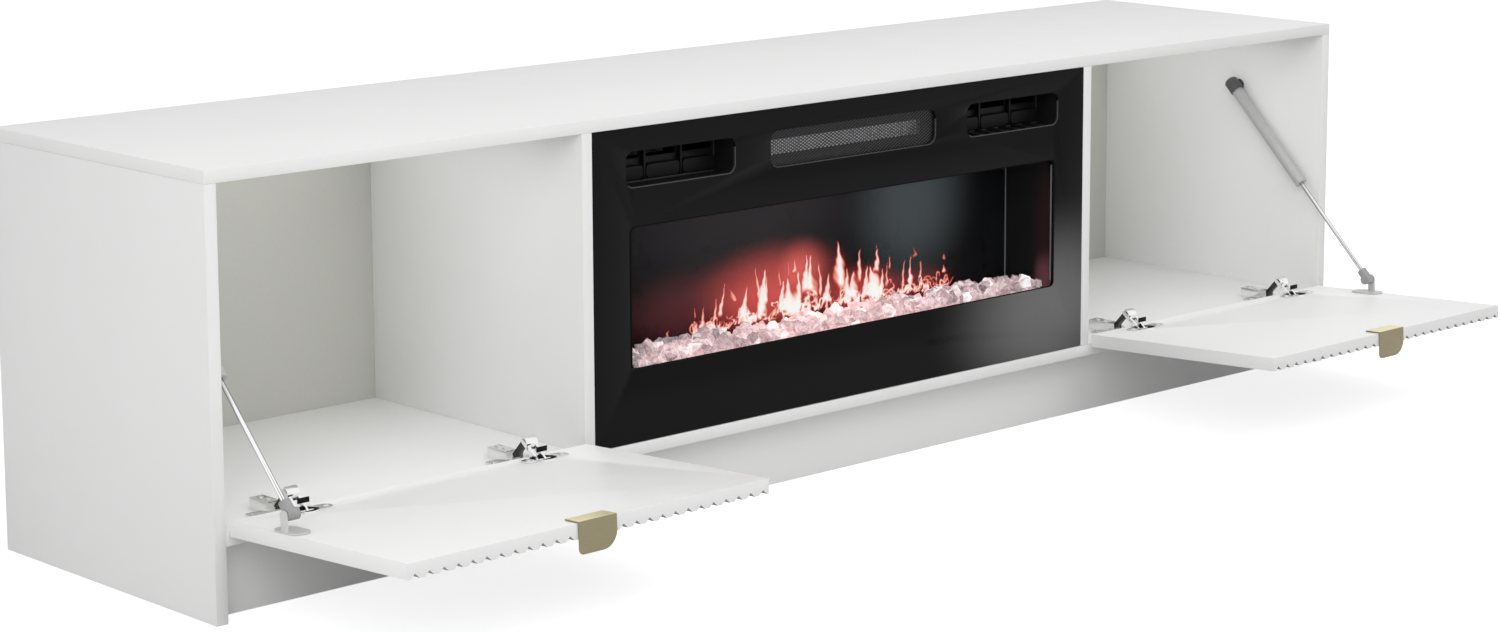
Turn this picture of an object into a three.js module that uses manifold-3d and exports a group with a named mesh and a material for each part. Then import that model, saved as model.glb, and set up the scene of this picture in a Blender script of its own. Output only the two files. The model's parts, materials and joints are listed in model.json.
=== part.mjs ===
import * as THREE from 'three';
import { mergeVertices } from 'three/addons/utils/BufferGeometryUtils.js';
import Module from 'manifold-3d';

const wasm = await Module();
wasm.setup();

// A low white cabinet with an electric fireplace between two drop-down doors.
// Millimetres, X to the right along the front, Y towards the back, Z up.
// The origin is on the floor, under the middle of the cabinet.

// Carcass
const cabinetWidth = 2000;
const cabinetDepth = 450;
const cabinetHeight = 520;
const boardThickness = 16;
const plinthHeight = 90;
const plinthSetback = 32;
const backThickness = 3;
const backInset = 15;
const cableSlotWidth = 260;
const cableSlotHeight = 110;
const cableSlotRise = 60;
const cableSlotCorner = 20;

// Doors, hinged along their lower edge
const doorHeight = 330;
const doorThickness = 18;
const doorSideGap = 2;
const doorBottomGap = 2;
const doorOpening = THREE.MathUtils.degToRad(87);
const hingeAxisInset = 0.4;
const hingeAxisDrop = 3.6;
const grooveWidth = 12;
const grooveDepth = 5.8;
const grooveCount = 27;

// Edge pulls on the doors
const pullWidth = 55;
const pullHeight = 38;
const pullThickness = 2;
const pullFlangeDepth = 22;
const pullSmallCorner = 6;
const pullLargeCorner = 21;
const seatGap = 0.3;

// Concealed cup hinges
const hingeEndDistance = 86;
const cupRadius = 17.5;
const cupDepth = 11;
const cupWall = 1;
const cupEdgeDistance = 5;
const cupFlangeWidth = 66;
const cupFlangeDepth = 22;
const cupFlangeStart = 15;
const cupFlangeThickness = 1;
const cupFlangeCorner = 9;
const linkPinRadius = 1.5;
const linkEyeRadius = 3;
const runningGap = 0.3;
const cupPinAlong = 17;
const cupPinDepth = 3;
const armPinSetback = 25;
const armPinRise = 10;
const linkTopSetback = 4;
const linkTopRise = 33;
const innerLinkWidth = 8.4;
const railWidth = 3;
const bandRadius = 9;
const bandSetback = 1.5;
const bandLowering = 3.8;
const bandLength = 6.5;
const bandThickness = 1.2;
const bandWidth = 17.2;
const armWallThickness = 1.4;
const armWallHeight = 14;
const armLength = 48;
const armNose = 3;
const armFloorThickness = 2;
const armRoofStart = 14;
const armRoofThickness = 1.2;
const plateWidth = 63;
const plateWingDepth = 26;
const plateSetback = 37;
const plateThickness = 2;
const plateCorner = 6;
const plateScrewRadius = 4.5;
const plateScrewHeight = 2.5;
const plateScrewSpread = 24;

// Gas struts at the outer ends of the doors
const strutWallDistance = 14;
const strutTopSetback = 160;
const strutTopDrop = 91;
const strutFootAlong = 103;
const strutFootRise = 20;
const cylinderRadius = 9;
const cylinderLength = 188;
const cylinderTopDistance = 5;
const rodRadius = 3;
const rodOverlap = 22;
const boreReserve = 8;
const socketRadius = 7;
const socketReach = 9;
const socketLength = 17;
const rodSeat = 8;
const capRadius = 10.5;
const capTail = 6;
const capLength = 22;
const capChamfer = 3;
const studRadius = 4;
const studPlateRadius = 9;
const studPlateThickness = 2;
const ballRadius = 3.6;
const ballReach = 5;
const postThickness = 3;
const postWidth = 11;
const footLength = 50;
const footWidth = 26;
const footThickness = 2;

// Fireplace front
const fasciaGap = 1;
const fasciaThickness = 4;
const fasciaBorder = 57;
const windowWidth = 776;
const windowRise = 94;
const windowDrop = 124;
const windowCorner = 8;
const ventWidth = 182;
const ventHeight = 46;
const ventMargin = 52;
const ventCorner = 12;
const airRowGap = 60.5;
const outletHeight = 48;
const outletCorner = 14;
const airRowDrop = 53;

// Fireplace insides
const housingMargin = 45;
const housingDepth = 165;
const housingTopGap = 5;
const sheetThickness = 1.5;
const fireboxDepth = 92;
const fireboxMargin = 2;
const screenThickness = 3;
const spindleSpace = 54;
const chassisThickness = 2;
const trayDrop = 10;
const cheekGap = 2.5;
const ventRecessDepth = 40;
const ventWall = 2;
const ventFlange = 6;
const ventBarWidth = 8;
const grilleThickness = 1.5;
const grilleFlange = 5;
const grillePitch = 13;
const grilleRows = 4;
const grilleBar = 2.6;
const ledBarDepth = 14;
const ledBarHeight = 8;
const spindleRadius = 4;
const spindleFinRadius = 13;
const spindleFinThickness = 1.6;
const spindleFinCount = 6;
const spindleRise = 18;
const shaftRadius = 2.5;
const motorRadius = 15;
const motorLength = 26;
const blowerRadius = 24;
const blowerCore = 6;
const blowerBlade = 2.4;
const blowerBladeCount = 10;
const blowerDisc = 3;
const blowerSetback = 70;
const heaterHeight = 40;
const heaterDepth = 24;
const heaterFinGap = 5;
const heaterFinPitch = 13.65;
const heaterRail = 4;
const rearSlotWidth = 60;
const rearSlotHeight = 6;
const rearSlotPitch = 14;
const rearSlotRows = 4;
const rearSlotColumns = 7;
const rearSlotDrop = 50;
const glandRadius = 9;
const glandBore = 4.5;
const glandLength = 16;
const glandNeckRadius = 6.5;
const glandX = 90;
const glandRise = 40;
const crystalSize = 15;
const crystalsPerRow = 25;
const crystalEndDistance = 16;
const crystalRowPitch = 23;
const crystalRows = 3;
const stoneFormShares = [1.15, 0.9, 0.8];
const smallestStoneShare = 0.75;
const stoneGrowthShare = 0.3;
const stoneDriftShare = 0.3;
const rowDriftShare = 0.2;
const lowestStoneShare = 0.15;
const stoneRiseShare = 0.25;
const rowRiseShare = 0.12;
const firstRowShare = 1.1;

// Fineness of the rounded outlines
const arcSteps = 6;
const smallestStep = 0.01;

// Places that follow from the sizes above
const frontY = -cabinetDepth / 2;
const rearY = cabinetDepth / 2;
const sideInnerX = cabinetWidth / 2 - boardThickness;
const topUnderZ = cabinetHeight - boardThickness;
const floorZ = plinthHeight + boardThickness;
const backFrontY = rearY - backInset - backThickness;
const fireplaceBayWidth = windowWidth + 2 * (fasciaBorder + fasciaGap);
const dividerInnerX = fireplaceBayWidth / 2;
const dividerOuterX = dividerInnerX + boardThickness;
const plinthFrontY = frontY + plinthSetback;
const overrun = boardThickness;

const doorWidth = sideInnerX - dividerOuterX - 2 * doorSideGap;
const doorCentreX = (sideInnerX + dividerOuterX) / 2;
const hingeOffsetX = doorWidth / 2 - hingeEndDistance;
const doorAxis = new THREE.Vector2(frontY + hingeAxisInset, floorZ - hingeAxisDrop);
const doorClosedEdge = new THREE.Vector2(frontY + doorThickness, floorZ + doorBottomGap);
const doorEdge = doorClosedEdge.clone().rotateAround(doorAxis, doorOpening);
const doorTurn = Math.PI / 2 + doorOpening;

const fasciaBackY = frontY + fasciaThickness;
const fasciaBottomZ = floorZ + fasciaGap;
const fasciaTopZ = topUnderZ - fasciaGap;
const windowBottomZ = floorZ + windowRise;
const windowTopZ = topUnderZ - windowDrop;
const windowHeight = windowTopZ - windowBottomZ;
const fasciaHalf = fireplaceBayWidth / 2 - fasciaGap;
const airRowZ = topUnderZ - airRowDrop;
const ventDistance = fasciaHalf - ventMargin - ventWidth / 2;
const outletWidth = 2 * (ventDistance - ventWidth / 2 - airRowGap);
const cheekDistance = outletWidth / 2 + grilleFlange + cheekGap;
const chassisHalfWidth = windowWidth / 2 + fireboxMargin;
const trayZ = windowBottomZ - trayDrop;
const roofZ = windowTopZ + fireboxMargin;
const screenY = fasciaBackY + fireboxDepth;
const chassisRearY = screenY + screenThickness + spindleSpace;
const housingRearY = fasciaBackY + housingDepth;
const housingWidth = windowWidth + 2 * housingMargin;
const housingTopZ = topUnderZ - housingTopGap;
const spindleY = screenY + screenThickness + spindleSpace / 2;
const spindleZ = trayZ + spindleRise;
const blowerY = fasciaBackY + blowerSetback;

// Materials
const material = (name, color, roughness, metalness, extra = {}) =>
  new THREE.MeshStandardMaterial({ name, color, roughness, metalness, ...extra });

const whiteBoard = () => material('white board', 0xe9e9e8, 0.45, 0);
const backBoard = () => material('grey hardboard', 0xb4b4ac, 0.7, 0);
const brass = () => material('brushed brass', 0x92896a, 0.35, 0.9);
const chrome = () => material('chrome', 0xd8d9da, 0.12, 1);
const greyPaint = () => material('grey paint', 0xb4b4b4, 0.4, 0.3);
const greyPlastic = () => material('grey plastic', 0x8f8f8f, 0.5, 0);
const darkPlastic = () => material('dark plastic', 0x55565a, 0.5, 0);
const blackGlass = () => material('black glass', 0x18181a, 0.08, 0);
const clearGlass = () => material('clear glass', 0xdfe6e8, 0.03, 0, { transparent: true, opacity: 0.25 });
const blackSheet = () => material('black sheet metal', 0x1c1c1e, 0.5, 0.4);
const meshSteel = () => material('grille steel', 0x5a5b5c, 0.35, 0.8);
const smokedMirror = () => material('smoked mirror', 0x20262b, 0.1, 0.6);
const crystalGlass = () => material('crystal glass', 0xf2d2cc, 0.08, 0);
const bareAluminium = () => material('bare aluminium', 0xb9bbbd, 0.35, 1);
const lampWhite = () => material('lamp strip', 0xf4ece0, 0.5, 0);

// Joining and cutting closed meshes
function toSolid(geometry) {
  const bare = geometry.index ? geometry.toNonIndexed() : geometry.clone();
  bare.deleteAttribute('normal');
  bare.deleteAttribute('uv');
  const merged = mergeVertices(bare);
  return new wasm.Manifold(new wasm.Mesh({
    numProp: 3,
    vertProperties: new Float32Array(merged.attributes.position.array),
    triVerts: new Uint32Array(merged.index.array),
  }));
}

function toGeometry(solid) {
  const mesh = solid.getMesh();
  const geometry = new THREE.BufferGeometry();
  geometry.setAttribute('position', new THREE.BufferAttribute(new Float32Array(mesh.vertProperties), 3));
  geometry.setIndex(new THREE.BufferAttribute(new Uint32Array(mesh.triVerts), 1));
  geometry.computeVertexNormals();
  return geometry;
}

const join = (...pieces) => pieces.map(toSolid).reduce((sum, piece) => sum.add(piece));
const cut = (body, ...tools) => tools.map(toSolid).reduce((rest, tool) => rest.subtract(tool), body);

// Basic forms
function block(x0, x1, y0, y1, z0, z1) {
  const geometry = new THREE.BoxGeometry(x1 - x0, y1 - y0, z1 - z0);
  return geometry.translate((x0 + x1) / 2, (y0 + y1) / 2, (z0 + z1) / 2);
}

const barX = (radius, x0, x1, y, z, sides = 24) =>
  new THREE.CylinderGeometry(radius, radius, x1 - x0, sides)
    .rotateZ(Math.PI / 2)
    .translate((x0 + x1) / 2, y, z);

const barY = (radius, y0, y1, x, z, sides = 24) =>
  new THREE.CylinderGeometry(radius, radius, y1 - y0, sides)
    .translate(x, (y0 + y1) / 2, z);

const barZ = (radius, z0, z1, x, y, sides = 24) =>
  new THREE.CylinderGeometry(radius, radius, z1 - z0, sides)
    .rotateX(Math.PI / 2)
    .translate(x, y, (z0 + z1) / 2);

// The points of an outline, without the doubles where its arcs and lines meet
function distinctPoints(outline) {
  const points = outline.getPoints(arcSteps);
  return points.filter((point, i) => point.distanceTo(points[(i + 1) % points.length]) > smallestStep);
}

// A flat outline given a thickness
function slab(outline, thickness) {
  const points = distinctPoints(outline);
  if (THREE.ShapeUtils.isClockWise(points)) points.reverse();
  const plain = new THREE.Shape(points);
  plain.holes = (outline.holes ?? []).map((hole) => new THREE.Path(distinctPoints(hole)));
  return new THREE.ExtrudeGeometry(plain, { depth: thickness, bevelEnabled: false });
}

// A flat outline in X and Z, pushed from y0 to y1. Its second coordinate is -Z.
const slabAlongY = (outline, y0, y1) =>
  slab(outline, y1 - y0).rotateX(-Math.PI / 2).translate(0, y0, 0);

// A flat outline in Y and Z, pushed from x0 to x1.
function slabAlongX(outline, x0, x1) {
  const geometry = slab(outline, x1 - x0);
  const axes = new THREE.Matrix4().makeBasis(
    new THREE.Vector3(0, 1, 0),
    new THREE.Vector3(0, 0, 1),
    new THREE.Vector3(1, 0, 0),
  );
  return geometry.applyMatrix4(axes).translate(x0, 0, 0);
}

// A rectangle with four corner radii, from the low corner round to the left one
function roundedRectangle(x0, x1, z0, z1, lowRight, highRight, highLeft, lowLeft, Kind = THREE.Shape) {
  const outline = new Kind();
  outline.moveTo(x0 + lowLeft, -z0);
  outline.lineTo(x1 - lowRight, -z0);
  if (lowRight > 0) outline.absarc(x1 - lowRight, -z0 - lowRight, lowRight, Math.PI / 2, 0, true);
  outline.lineTo(x1, -z1 + highRight);
  if (highRight > 0) outline.absarc(x1 - highRight, -z1 + highRight, highRight, 0, -Math.PI / 2, true);
  outline.lineTo(x0 + highLeft, -z1);
  if (highLeft > 0) outline.absarc(x0 + highLeft, -z1 + highLeft, highLeft, -Math.PI / 2, -Math.PI, true);
  outline.lineTo(x0, -z0 - lowLeft);
  if (lowLeft > 0) outline.absarc(x0 + lowLeft, -z0 - lowLeft, lowLeft, Math.PI, Math.PI / 2, true);
  return outline;
}

const evenRectangle = (x, z, width, height, corner, Kind) =>
  roundedRectangle(x - width / 2, x + width / 2, z - height / 2, z + height / 2, corner, corner, corner, corner, Kind);

// A level plate with round corners, its middle at x and y
const roundedPlate = (x, y, width, depth, corner, z0, z1) =>
  slab(evenRectangle(x, -y, width, depth, corner), z1 - z0).translate(0, 0, z0);

// A strap between two eyes, the first at the origin and the second on the Y axis.
function strapOutline(length, radius) {
  const outline = new THREE.Shape();
  outline.absarc(length, 0, radius, -Math.PI / 2, Math.PI / 2, false);
  outline.absarc(0, 0, radius, Math.PI / 2, 3 * Math.PI / 2, false);
  return outline;
}

const group = new THREE.Group();

function place(parent, name, shape, look) {
  const geometry = shape.isBufferGeometry ? shape : toGeometry(shape);
  const mesh = new THREE.Mesh(geometry, look);
  mesh.name = name;
  parent.add(mesh);
}

// A frame turned about X, so that its Y axis points along the given direction.
function turnedFrame(x, y, z, turn) {
  const frame = new THREE.Group();
  frame.position.set(x, y, z);
  frame.rotation.x = turn;
  group.add(frame);
  return frame;
}

// Carcass boards
function addCarcass() {
  place(group, 'top_panel', block(
    -cabinetWidth / 2, cabinetWidth / 2, frontY, rearY, topUnderZ, cabinetHeight), whiteBoard());
  place(group, 'side_panel_left', block(
    -cabinetWidth / 2, -sideInnerX, frontY, rearY, 0, topUnderZ), whiteBoard());
  place(group, 'side_panel_right', block(
    sideInnerX, cabinetWidth / 2, frontY, rearY, 0, topUnderZ), whiteBoard());
  place(group, 'divider_left', block(
    -dividerOuterX, -dividerInnerX, frontY, backFrontY, floorZ, topUnderZ), whiteBoard());
  place(group, 'divider_right', block(
    dividerInnerX, dividerOuterX, frontY, backFrontY, floorZ, topUnderZ), whiteBoard());
  place(group, 'bottom_panel', block(
    -sideInnerX, sideInnerX, frontY, backFrontY, plinthHeight, floorZ), whiteBoard());
  place(group, 'plinth_front', block(
    -sideInnerX, sideInnerX, plinthFrontY, plinthFrontY + boardThickness, 0, plinthHeight), whiteBoard());
  place(group, 'plinth_rear', block(
    -sideInnerX, sideInnerX, backFrontY - boardThickness, backFrontY, 0, plinthHeight), whiteBoard());
  place(group, 'centre_support', block(
    -boardThickness / 2, boardThickness / 2,
    plinthFrontY + boardThickness, backFrontY - boardThickness, 0, plinthHeight), whiteBoard());
}

// Hardboard backs, with a cable slot behind the fireplace
function addBacks() {
  const backRearY = backFrontY + backThickness;
  const seam = (dividerInnerX + dividerOuterX) / 2;
  place(group, 'back_panel_left', block(
    -sideInnerX, -seam, backFrontY, backRearY, plinthHeight, topUnderZ), backBoard());
  place(group, 'back_panel_right', block(
    seam, sideInnerX, backFrontY, backRearY, plinthHeight, topUnderZ), backBoard());
  const centre = roundedRectangle(-seam, seam, plinthHeight, topUnderZ, 0, 0, 0, 0);
  const slotZ = floorZ + cableSlotRise + cableSlotHeight / 2;
  centre.holes.push(evenRectangle(0, slotZ, cableSlotWidth, cableSlotHeight, cableSlotCorner, THREE.Path));
  place(group, 'back_panel_centre', slabAlongY(centre, backFrontY, backRearY), backBoard());
}

// A door with V grooves down its outer face and two bores for the hinge cups
function doorShape() {
  const half = doorWidth / 2;
  const pitch = doorWidth / grooveCount;
  const outline = new THREE.Shape();
  outline.moveTo(-half, 0);
  outline.lineTo(-half, -doorThickness);
  for (let i = 0; i < grooveCount; i++) {
    const middle = -half + (i + 0.5) * pitch;
    outline.lineTo(middle - grooveWidth / 2, -doorThickness);
    outline.lineTo(middle, -doorThickness + grooveDepth);
    outline.lineTo(middle + grooveWidth / 2, -doorThickness);
  }
  outline.lineTo(half, -doorThickness);
  outline.lineTo(half, 0);
  const bore = (x) => barZ(
    cupRadius + seatGap, -overrun, cupDepth + seatGap, x, cupEdgeDistance + cupRadius, 32);
  return cut(toSolid(slabAlongY(outline, 0, doorHeight)), bore(-hingeOffsetX), bore(hingeOffsetX));
}

// An L-shaped pull over the free edge, with one small and one large lower corner
function pullShape() {
  const half = pullWidth / 2;
  const rise = pullThickness + seatGap;
  const plate = slabAlongY(
    roundedRectangle(-half, half, -rise, pullHeight - rise, 0, pullLargeCorner, pullSmallCorner, 0),
    doorHeight + seatGap, doorHeight + seatGap + pullThickness);
  const flange = block(
    -half, half, doorHeight - pullFlangeDepth, doorHeight + seatGap + pullThickness, -rise, -seatGap);
  return join(plate, flange);
}

// The bracket that the strut's socket turns on: an oval foot, a post and a ball
function footShape(side) {
  const top = -seatGap - footThickness;
  const straight = footLength - footWidth;
  const foot = join(
    block(-footWidth / 2, footWidth / 2, -straight / 2, straight / 2, top, -seatGap),
    barZ(footWidth / 2, top, -seatGap, 0, -straight / 2, 20),
    barZ(footWidth / 2, top, -seatGap, 0, straight / 2, 20));
  const postInner = socketRadius + runningGap;
  const post = join(
    block(postInner, postInner + postThickness, -postWidth / 2, postWidth / 2, -strutFootRise, -seatGap),
    barX(postWidth / 2, postInner, postInner + postThickness, 0, -strutFootRise, 20),
    barX(ballRadius, socketRadius - ballReach, postInner, 0, -strutFootRise, 16));
  const shifted = Math.min(0, strutWallDistance - doorSideGap - seatGap - footWidth / 2);
  const whole = foot.translate([shifted, 0, 0]).add(post);
  return side > 0 ? whole : whole.mirror([1, 0, 0]);
}

// The cup in the door, its flange and the pin that the outer link turns on
function cupShape() {
  const centreY = cupEdgeDistance + cupRadius;
  const rim = -seatGap - cupFlangeThickness;
  const bowl = join(
    barZ(cupRadius, rim, cupDepth, 0, centreY, 32),
    roundedPlate(0, cupFlangeStart + cupFlangeDepth / 2, cupFlangeWidth, cupFlangeDepth, cupFlangeCorner, rim, -seatGap));
  const hollow = barZ(cupRadius - cupWall, -overrun, cupDepth - cupWall, 0, centreY, 32);
  const reach = Math.sqrt((cupRadius - cupWall / 2) ** 2 - (centreY - cupPinAlong) ** 2);
  const pin = barX(linkPinRadius, -reach, reach, cupPinAlong, cupPinDepth, 12);
  return cut(bowl, hollow).add(toSolid(pin));
}

// The arm and wings that screw to the bottom board, with the pin of the inner link.
// Its own frame has Y from the front edge of the board and Z from the board's top.
function hingePlateShape() {
  const inner = innerLinkWidth / 2 + runningGap + railWidth + runningGap;
  const outer = inner + armWallThickness;
  const noseY = armPinSetback - armNose;
  const tailY = noseY + armLength;
  const wing = roundedPlate(0, plateSetback, plateWidth, plateWingDepth, plateCorner, 0, plateThickness);
  const floor = block(-outer, outer, noseY, tailY, 0, armFloorThickness);
  const walls = [-1, 1].map((side) => block(
    Math.min(side * inner, side * outer), Math.max(side * inner, side * outer),
    noseY, tailY, 0, armWallHeight));
  const roof = block(
    -outer, outer, noseY + armRoofStart, tailY, armWallHeight - armRoofThickness, armWallHeight);
  const pin = barX(linkPinRadius, -outer, outer, armPinSetback, armPinRise, 12);
  const screws = [-1, 1].map((side) => barZ(
    plateScrewRadius, 0, plateThickness + plateScrewHeight,
    side * plateScrewSpread, plateSetback, 16));
  return join(wing, floor, ...walls, roof, pin, ...screws);
}

// The inner link, from the arm's pin at its origin to its tip
function innerLinkShape(length) {
  const half = innerLinkWidth / 2;
  const strap = slabAlongX(strapOutline(length, linkEyeRadius), -half, half);
  const eye = barX(linkPinRadius + runningGap, -overrun, overrun, 0, 0, 16);
  return cut(toSolid(strap), eye);
}

// The band over the outer link's tip: a quarter round that runs down in front of it
function bandOutline(length, lean) {
  const centre = new THREE.Vector2(-bandSetback, -bandLowering).rotateAround(new THREE.Vector2(), -lean);
  centre.x += length;
  const up = Math.PI / 2 - lean;
  const front = Math.PI - lean;
  const down = new THREE.Vector2(0, -bandLength).rotateAround(new THREE.Vector2(), -lean);
  const outline = new THREE.Shape();
  outline.absarc(centre.x, centre.y, bandRadius, up, front, false);
  outline.lineTo(
    centre.x + bandRadius * Math.cos(front) + down.x, centre.y + bandRadius * Math.sin(front) + down.y);
  const innerRadius = bandRadius - bandThickness;
  outline.lineTo(
    centre.x + innerRadius * Math.cos(front) + down.x, centre.y + innerRadius * Math.sin(front) + down.y);
  outline.absarc(centre.x, centre.y, innerRadius, front, up, true);
  return outline;
}

// The outer link: two rails under a band, from the cup's pin to the tip of the inner link
function outerLinkShape(length, lean) {
  const inner = innerLinkWidth / 2 + runningGap;
  const outer = inner + railWidth;
  const rails = [-outer, inner].map((x) =>
    slabAlongX(strapOutline(length, linkEyeRadius), x, x + railWidth));
  const band = slabAlongX(bandOutline(length, lean), -bandWidth / 2, bandWidth / 2);
  const eye = barX(linkPinRadius + runningGap, -overrun, overrun, 0, 0, 16);
  return cut(join(...rails, band), eye);
}

// A point of the open door, along it from its hinge edge and above its inner face
function doorPoint(along, rise) {
  const along2 = new THREE.Vector2(along, 0).rotateAround(new THREE.Vector2(), doorTurn);
  const rise2 = new THREE.Vector2(0, -rise).rotateAround(new THREE.Vector2(), doorTurn);
  return doorEdge.clone().add(along2).add(rise2);
}

function addHinge(name, doorFrame, offsetX) {
  const x = doorFrame.position.x + offsetX;
  const plateFrame = turnedFrame(x, frontY, floorZ, 0);
  place(plateFrame, `hinge_plate_${name}`, hingePlateShape(), chrome());

  const cupFrame = new THREE.Group();
  cupFrame.position.x = offsetX;
  doorFrame.add(cupFrame);
  place(cupFrame, `hinge_cup_${name}`, cupShape(), chrome());

  const armPin = new THREE.Vector2(frontY + armPinSetback, floorZ + armPinRise);
  const cupPin = doorPoint(cupPinAlong, -cupPinDepth);
  const linkTop = new THREE.Vector2(frontY + linkTopSetback, floorZ + linkTopRise);
  const innerSpan = linkTop.clone().sub(armPin);
  const outerSpan = linkTop.clone().sub(cupPin);
  const innerFrame = turnedFrame(x, armPin.x, armPin.y, innerSpan.angle());
  place(innerFrame, `hinge_inner_link_${name}`, innerLinkShape(innerSpan.length()), chrome());
  const outerFrame = turnedFrame(x, cupPin.x, cupPin.y, outerSpan.angle());
  place(outerFrame, `hinge_outer_link_${name}`, outerLinkShape(outerSpan.length(), outerSpan.angle()), chrome());
}

// A gas strut from a stud on the side board to the bracket on the door
function addStrut(name, side) {
  const x = side * (sideInnerX - strutWallDistance);
  const top = new THREE.Vector2(frontY + strutTopSetback, topUnderZ - strutTopDrop);
  const foot = doorPoint(strutFootAlong, strutFootRise);
  const span = top.clone().sub(foot);
  const length = span.length();
  const frame = turnedFrame(x, foot.x, foot.y, span.angle());

  const cylinderTop = length - cylinderTopDistance;
  const cylinderFoot = cylinderTop - cylinderLength;
  const boreEnd = cylinderTop - boreReserve;
  const cylinder = cut(
    toSolid(barY(cylinderRadius, cylinderFoot, cylinderTop, 0, 0, 32)),
    barY(rodRadius + runningGap, cylinderFoot - overrun, boreEnd, 0, 0, 24));
  place(frame, `strut_cylinder_${name}`, cylinder, greyPaint());

  const rodFoot = socketLength - rodSeat;
  place(frame, `strut_rod_${name}`,
    barY(rodRadius, rodFoot + seatGap, cylinderFoot + rodOverlap, 0, 0, 24), chrome());

  const crossEnds = [-side * socketReach, side * socketRadius];
  const socket = cut(
    join(
      barY(socketRadius, 0, socketLength, 0, 0, 24),
      barX(socketRadius, Math.min(...crossEnds), Math.max(...crossEnds), 0, 0, 24)),
    barY(rodRadius + seatGap, rodFoot, socketLength + overrun, 0, 0, 24),
    side > 0
      ? barX(ballRadius + runningGap, socketRadius - ballReach - runningGap, overrun, 0, 0, 16)
      : barX(ballRadius + runningGap, -overrun, ballReach + runningGap - socketRadius, 0, 0, 16));
  place(frame, `strut_socket_${name}`, socket, greyPlastic());

  const capFoot = cylinderTop - capTail;
  const capTop = capFoot + capLength;
  const cap = cut(
    toSolid(new THREE.LatheGeometry([
      new THREE.Vector2(0, capFoot),
      new THREE.Vector2(capRadius, capFoot),
      new THREE.Vector2(capRadius, capTop - capChamfer),
      new THREE.Vector2(capRadius - capChamfer, capTop),
      new THREE.Vector2(0, capTop),
    ], 32)),
    barY(cylinderRadius + seatGap, capFoot - overrun, cylinderTop + seatGap, 0, 0, 32));
  place(frame, `strut_cap_${name}`, cap, darkPlastic());

  const studTip = side * (sideInnerX - strutWallDistance + capRadius + runningGap);
  const wall = side * sideInnerX;
  const plateFace = wall - side * studPlateThickness;
  const stud = join(
    barX(studPlateRadius, Math.min(wall, plateFace), Math.max(wall, plateFace), top.x, top.y, 24),
    barX(studRadius, Math.min(wall, studTip), Math.max(wall, studTip), top.x, top.y, 16));
  place(group, `strut_stud_${name}`, stud, darkPlastic());
}

function addDoor(name, side) {
  const frame = turnedFrame(side * doorCentreX, doorEdge.x, doorEdge.y, doorTurn);
  place(frame, `door_${name}`, doorShape(), whiteBoard());
  place(frame, `handle_${name}`, pullShape(), brass());
  addHinge(`${name}_outer`, frame, side * hingeOffsetX);
  addHinge(`${name}_inner`, frame, -side * hingeOffsetX);
  addStrut(name, side);
  const footFrame = new THREE.Group();
  footFrame.position.set(side * (sideInnerX - strutWallDistance - doorCentreX), strutFootAlong, 0);
  frame.add(footFrame);
  place(footFrame, `strut_bracket_${name}`, footShape(side), greyPaint());
}

// Fireplace front: black glass with openings for the window, the vents and the outlet
function addFascia() {
  const sheet = roundedRectangle(-fasciaHalf, fasciaHalf, fasciaBottomZ, fasciaTopZ, 0, 0, 0, 0);
  const windowZ = (windowBottomZ + windowTopZ) / 2;
  sheet.holes.push(
    evenRectangle(0, windowZ, windowWidth, windowHeight, windowCorner, THREE.Path),
    evenRectangle(-ventDistance, airRowZ, ventWidth, ventHeight, ventCorner, THREE.Path),
    evenRectangle(ventDistance, airRowZ, ventWidth, ventHeight, ventCorner, THREE.Path),
    evenRectangle(0, airRowZ, outletWidth, outletHeight, outletCorner, THREE.Path));
  place(group, 'fascia_panel', slabAlongY(sheet, frontY, fasciaBackY), blackGlass());
  const pane = evenRectangle(
    0, windowZ, windowWidth - 2 * seatGap, windowHeight - 2 * seatGap, windowCorner - seatGap);
  place(group, 'window_glass', slabAlongY(pane, frontY + seatGap, fasciaBackY), clearGlass());
}

// An intake recess with a barred back
function addVent(name, x) {
  const backY = fasciaBackY + ventRecessDepth;
  const width = ventWidth + 2 * ventWall;
  const height = ventHeight + 2 * ventWall;
  const flange = slabAlongY(
    evenRectangle(x, airRowZ, width + 2 * ventFlange, height + 2 * ventFlange, ventCorner),
    fasciaBackY, fasciaBackY + ventWall);
  const shell = slabAlongY(evenRectangle(x, airRowZ, width, height, ventCorner + ventWall), fasciaBackY, backY);
  const hollow = slabAlongY(
    evenRectangle(x, airRowZ, ventWidth, ventHeight, ventCorner), fasciaBackY - overrun, backY - ventWall);
  const columnShares = [-1 / 3, 0, 1 / 3];
  const windowW = ventWidth / columnShares.length - ventBarWidth;
  const windowH = (ventHeight - ventBarWidth) / 2;
  const windows = columnShares.flatMap((share) => [-1, 1].map((row) => block(
    x + share * ventWidth - windowW / 2, x + share * ventWidth + windowW / 2,
    backY - overrun, backY + overrun,
    airRowZ + row * (windowH + ventBarWidth) / 2 - (windowH - ventBarWidth / 2) / 2,
    airRowZ + row * (windowH + ventBarWidth) / 2 + (windowH - ventBarWidth / 2) / 2)));
  place(group, name, cut(join(flange, shell), hollow, ...windows), blackSheet());
}

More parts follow.
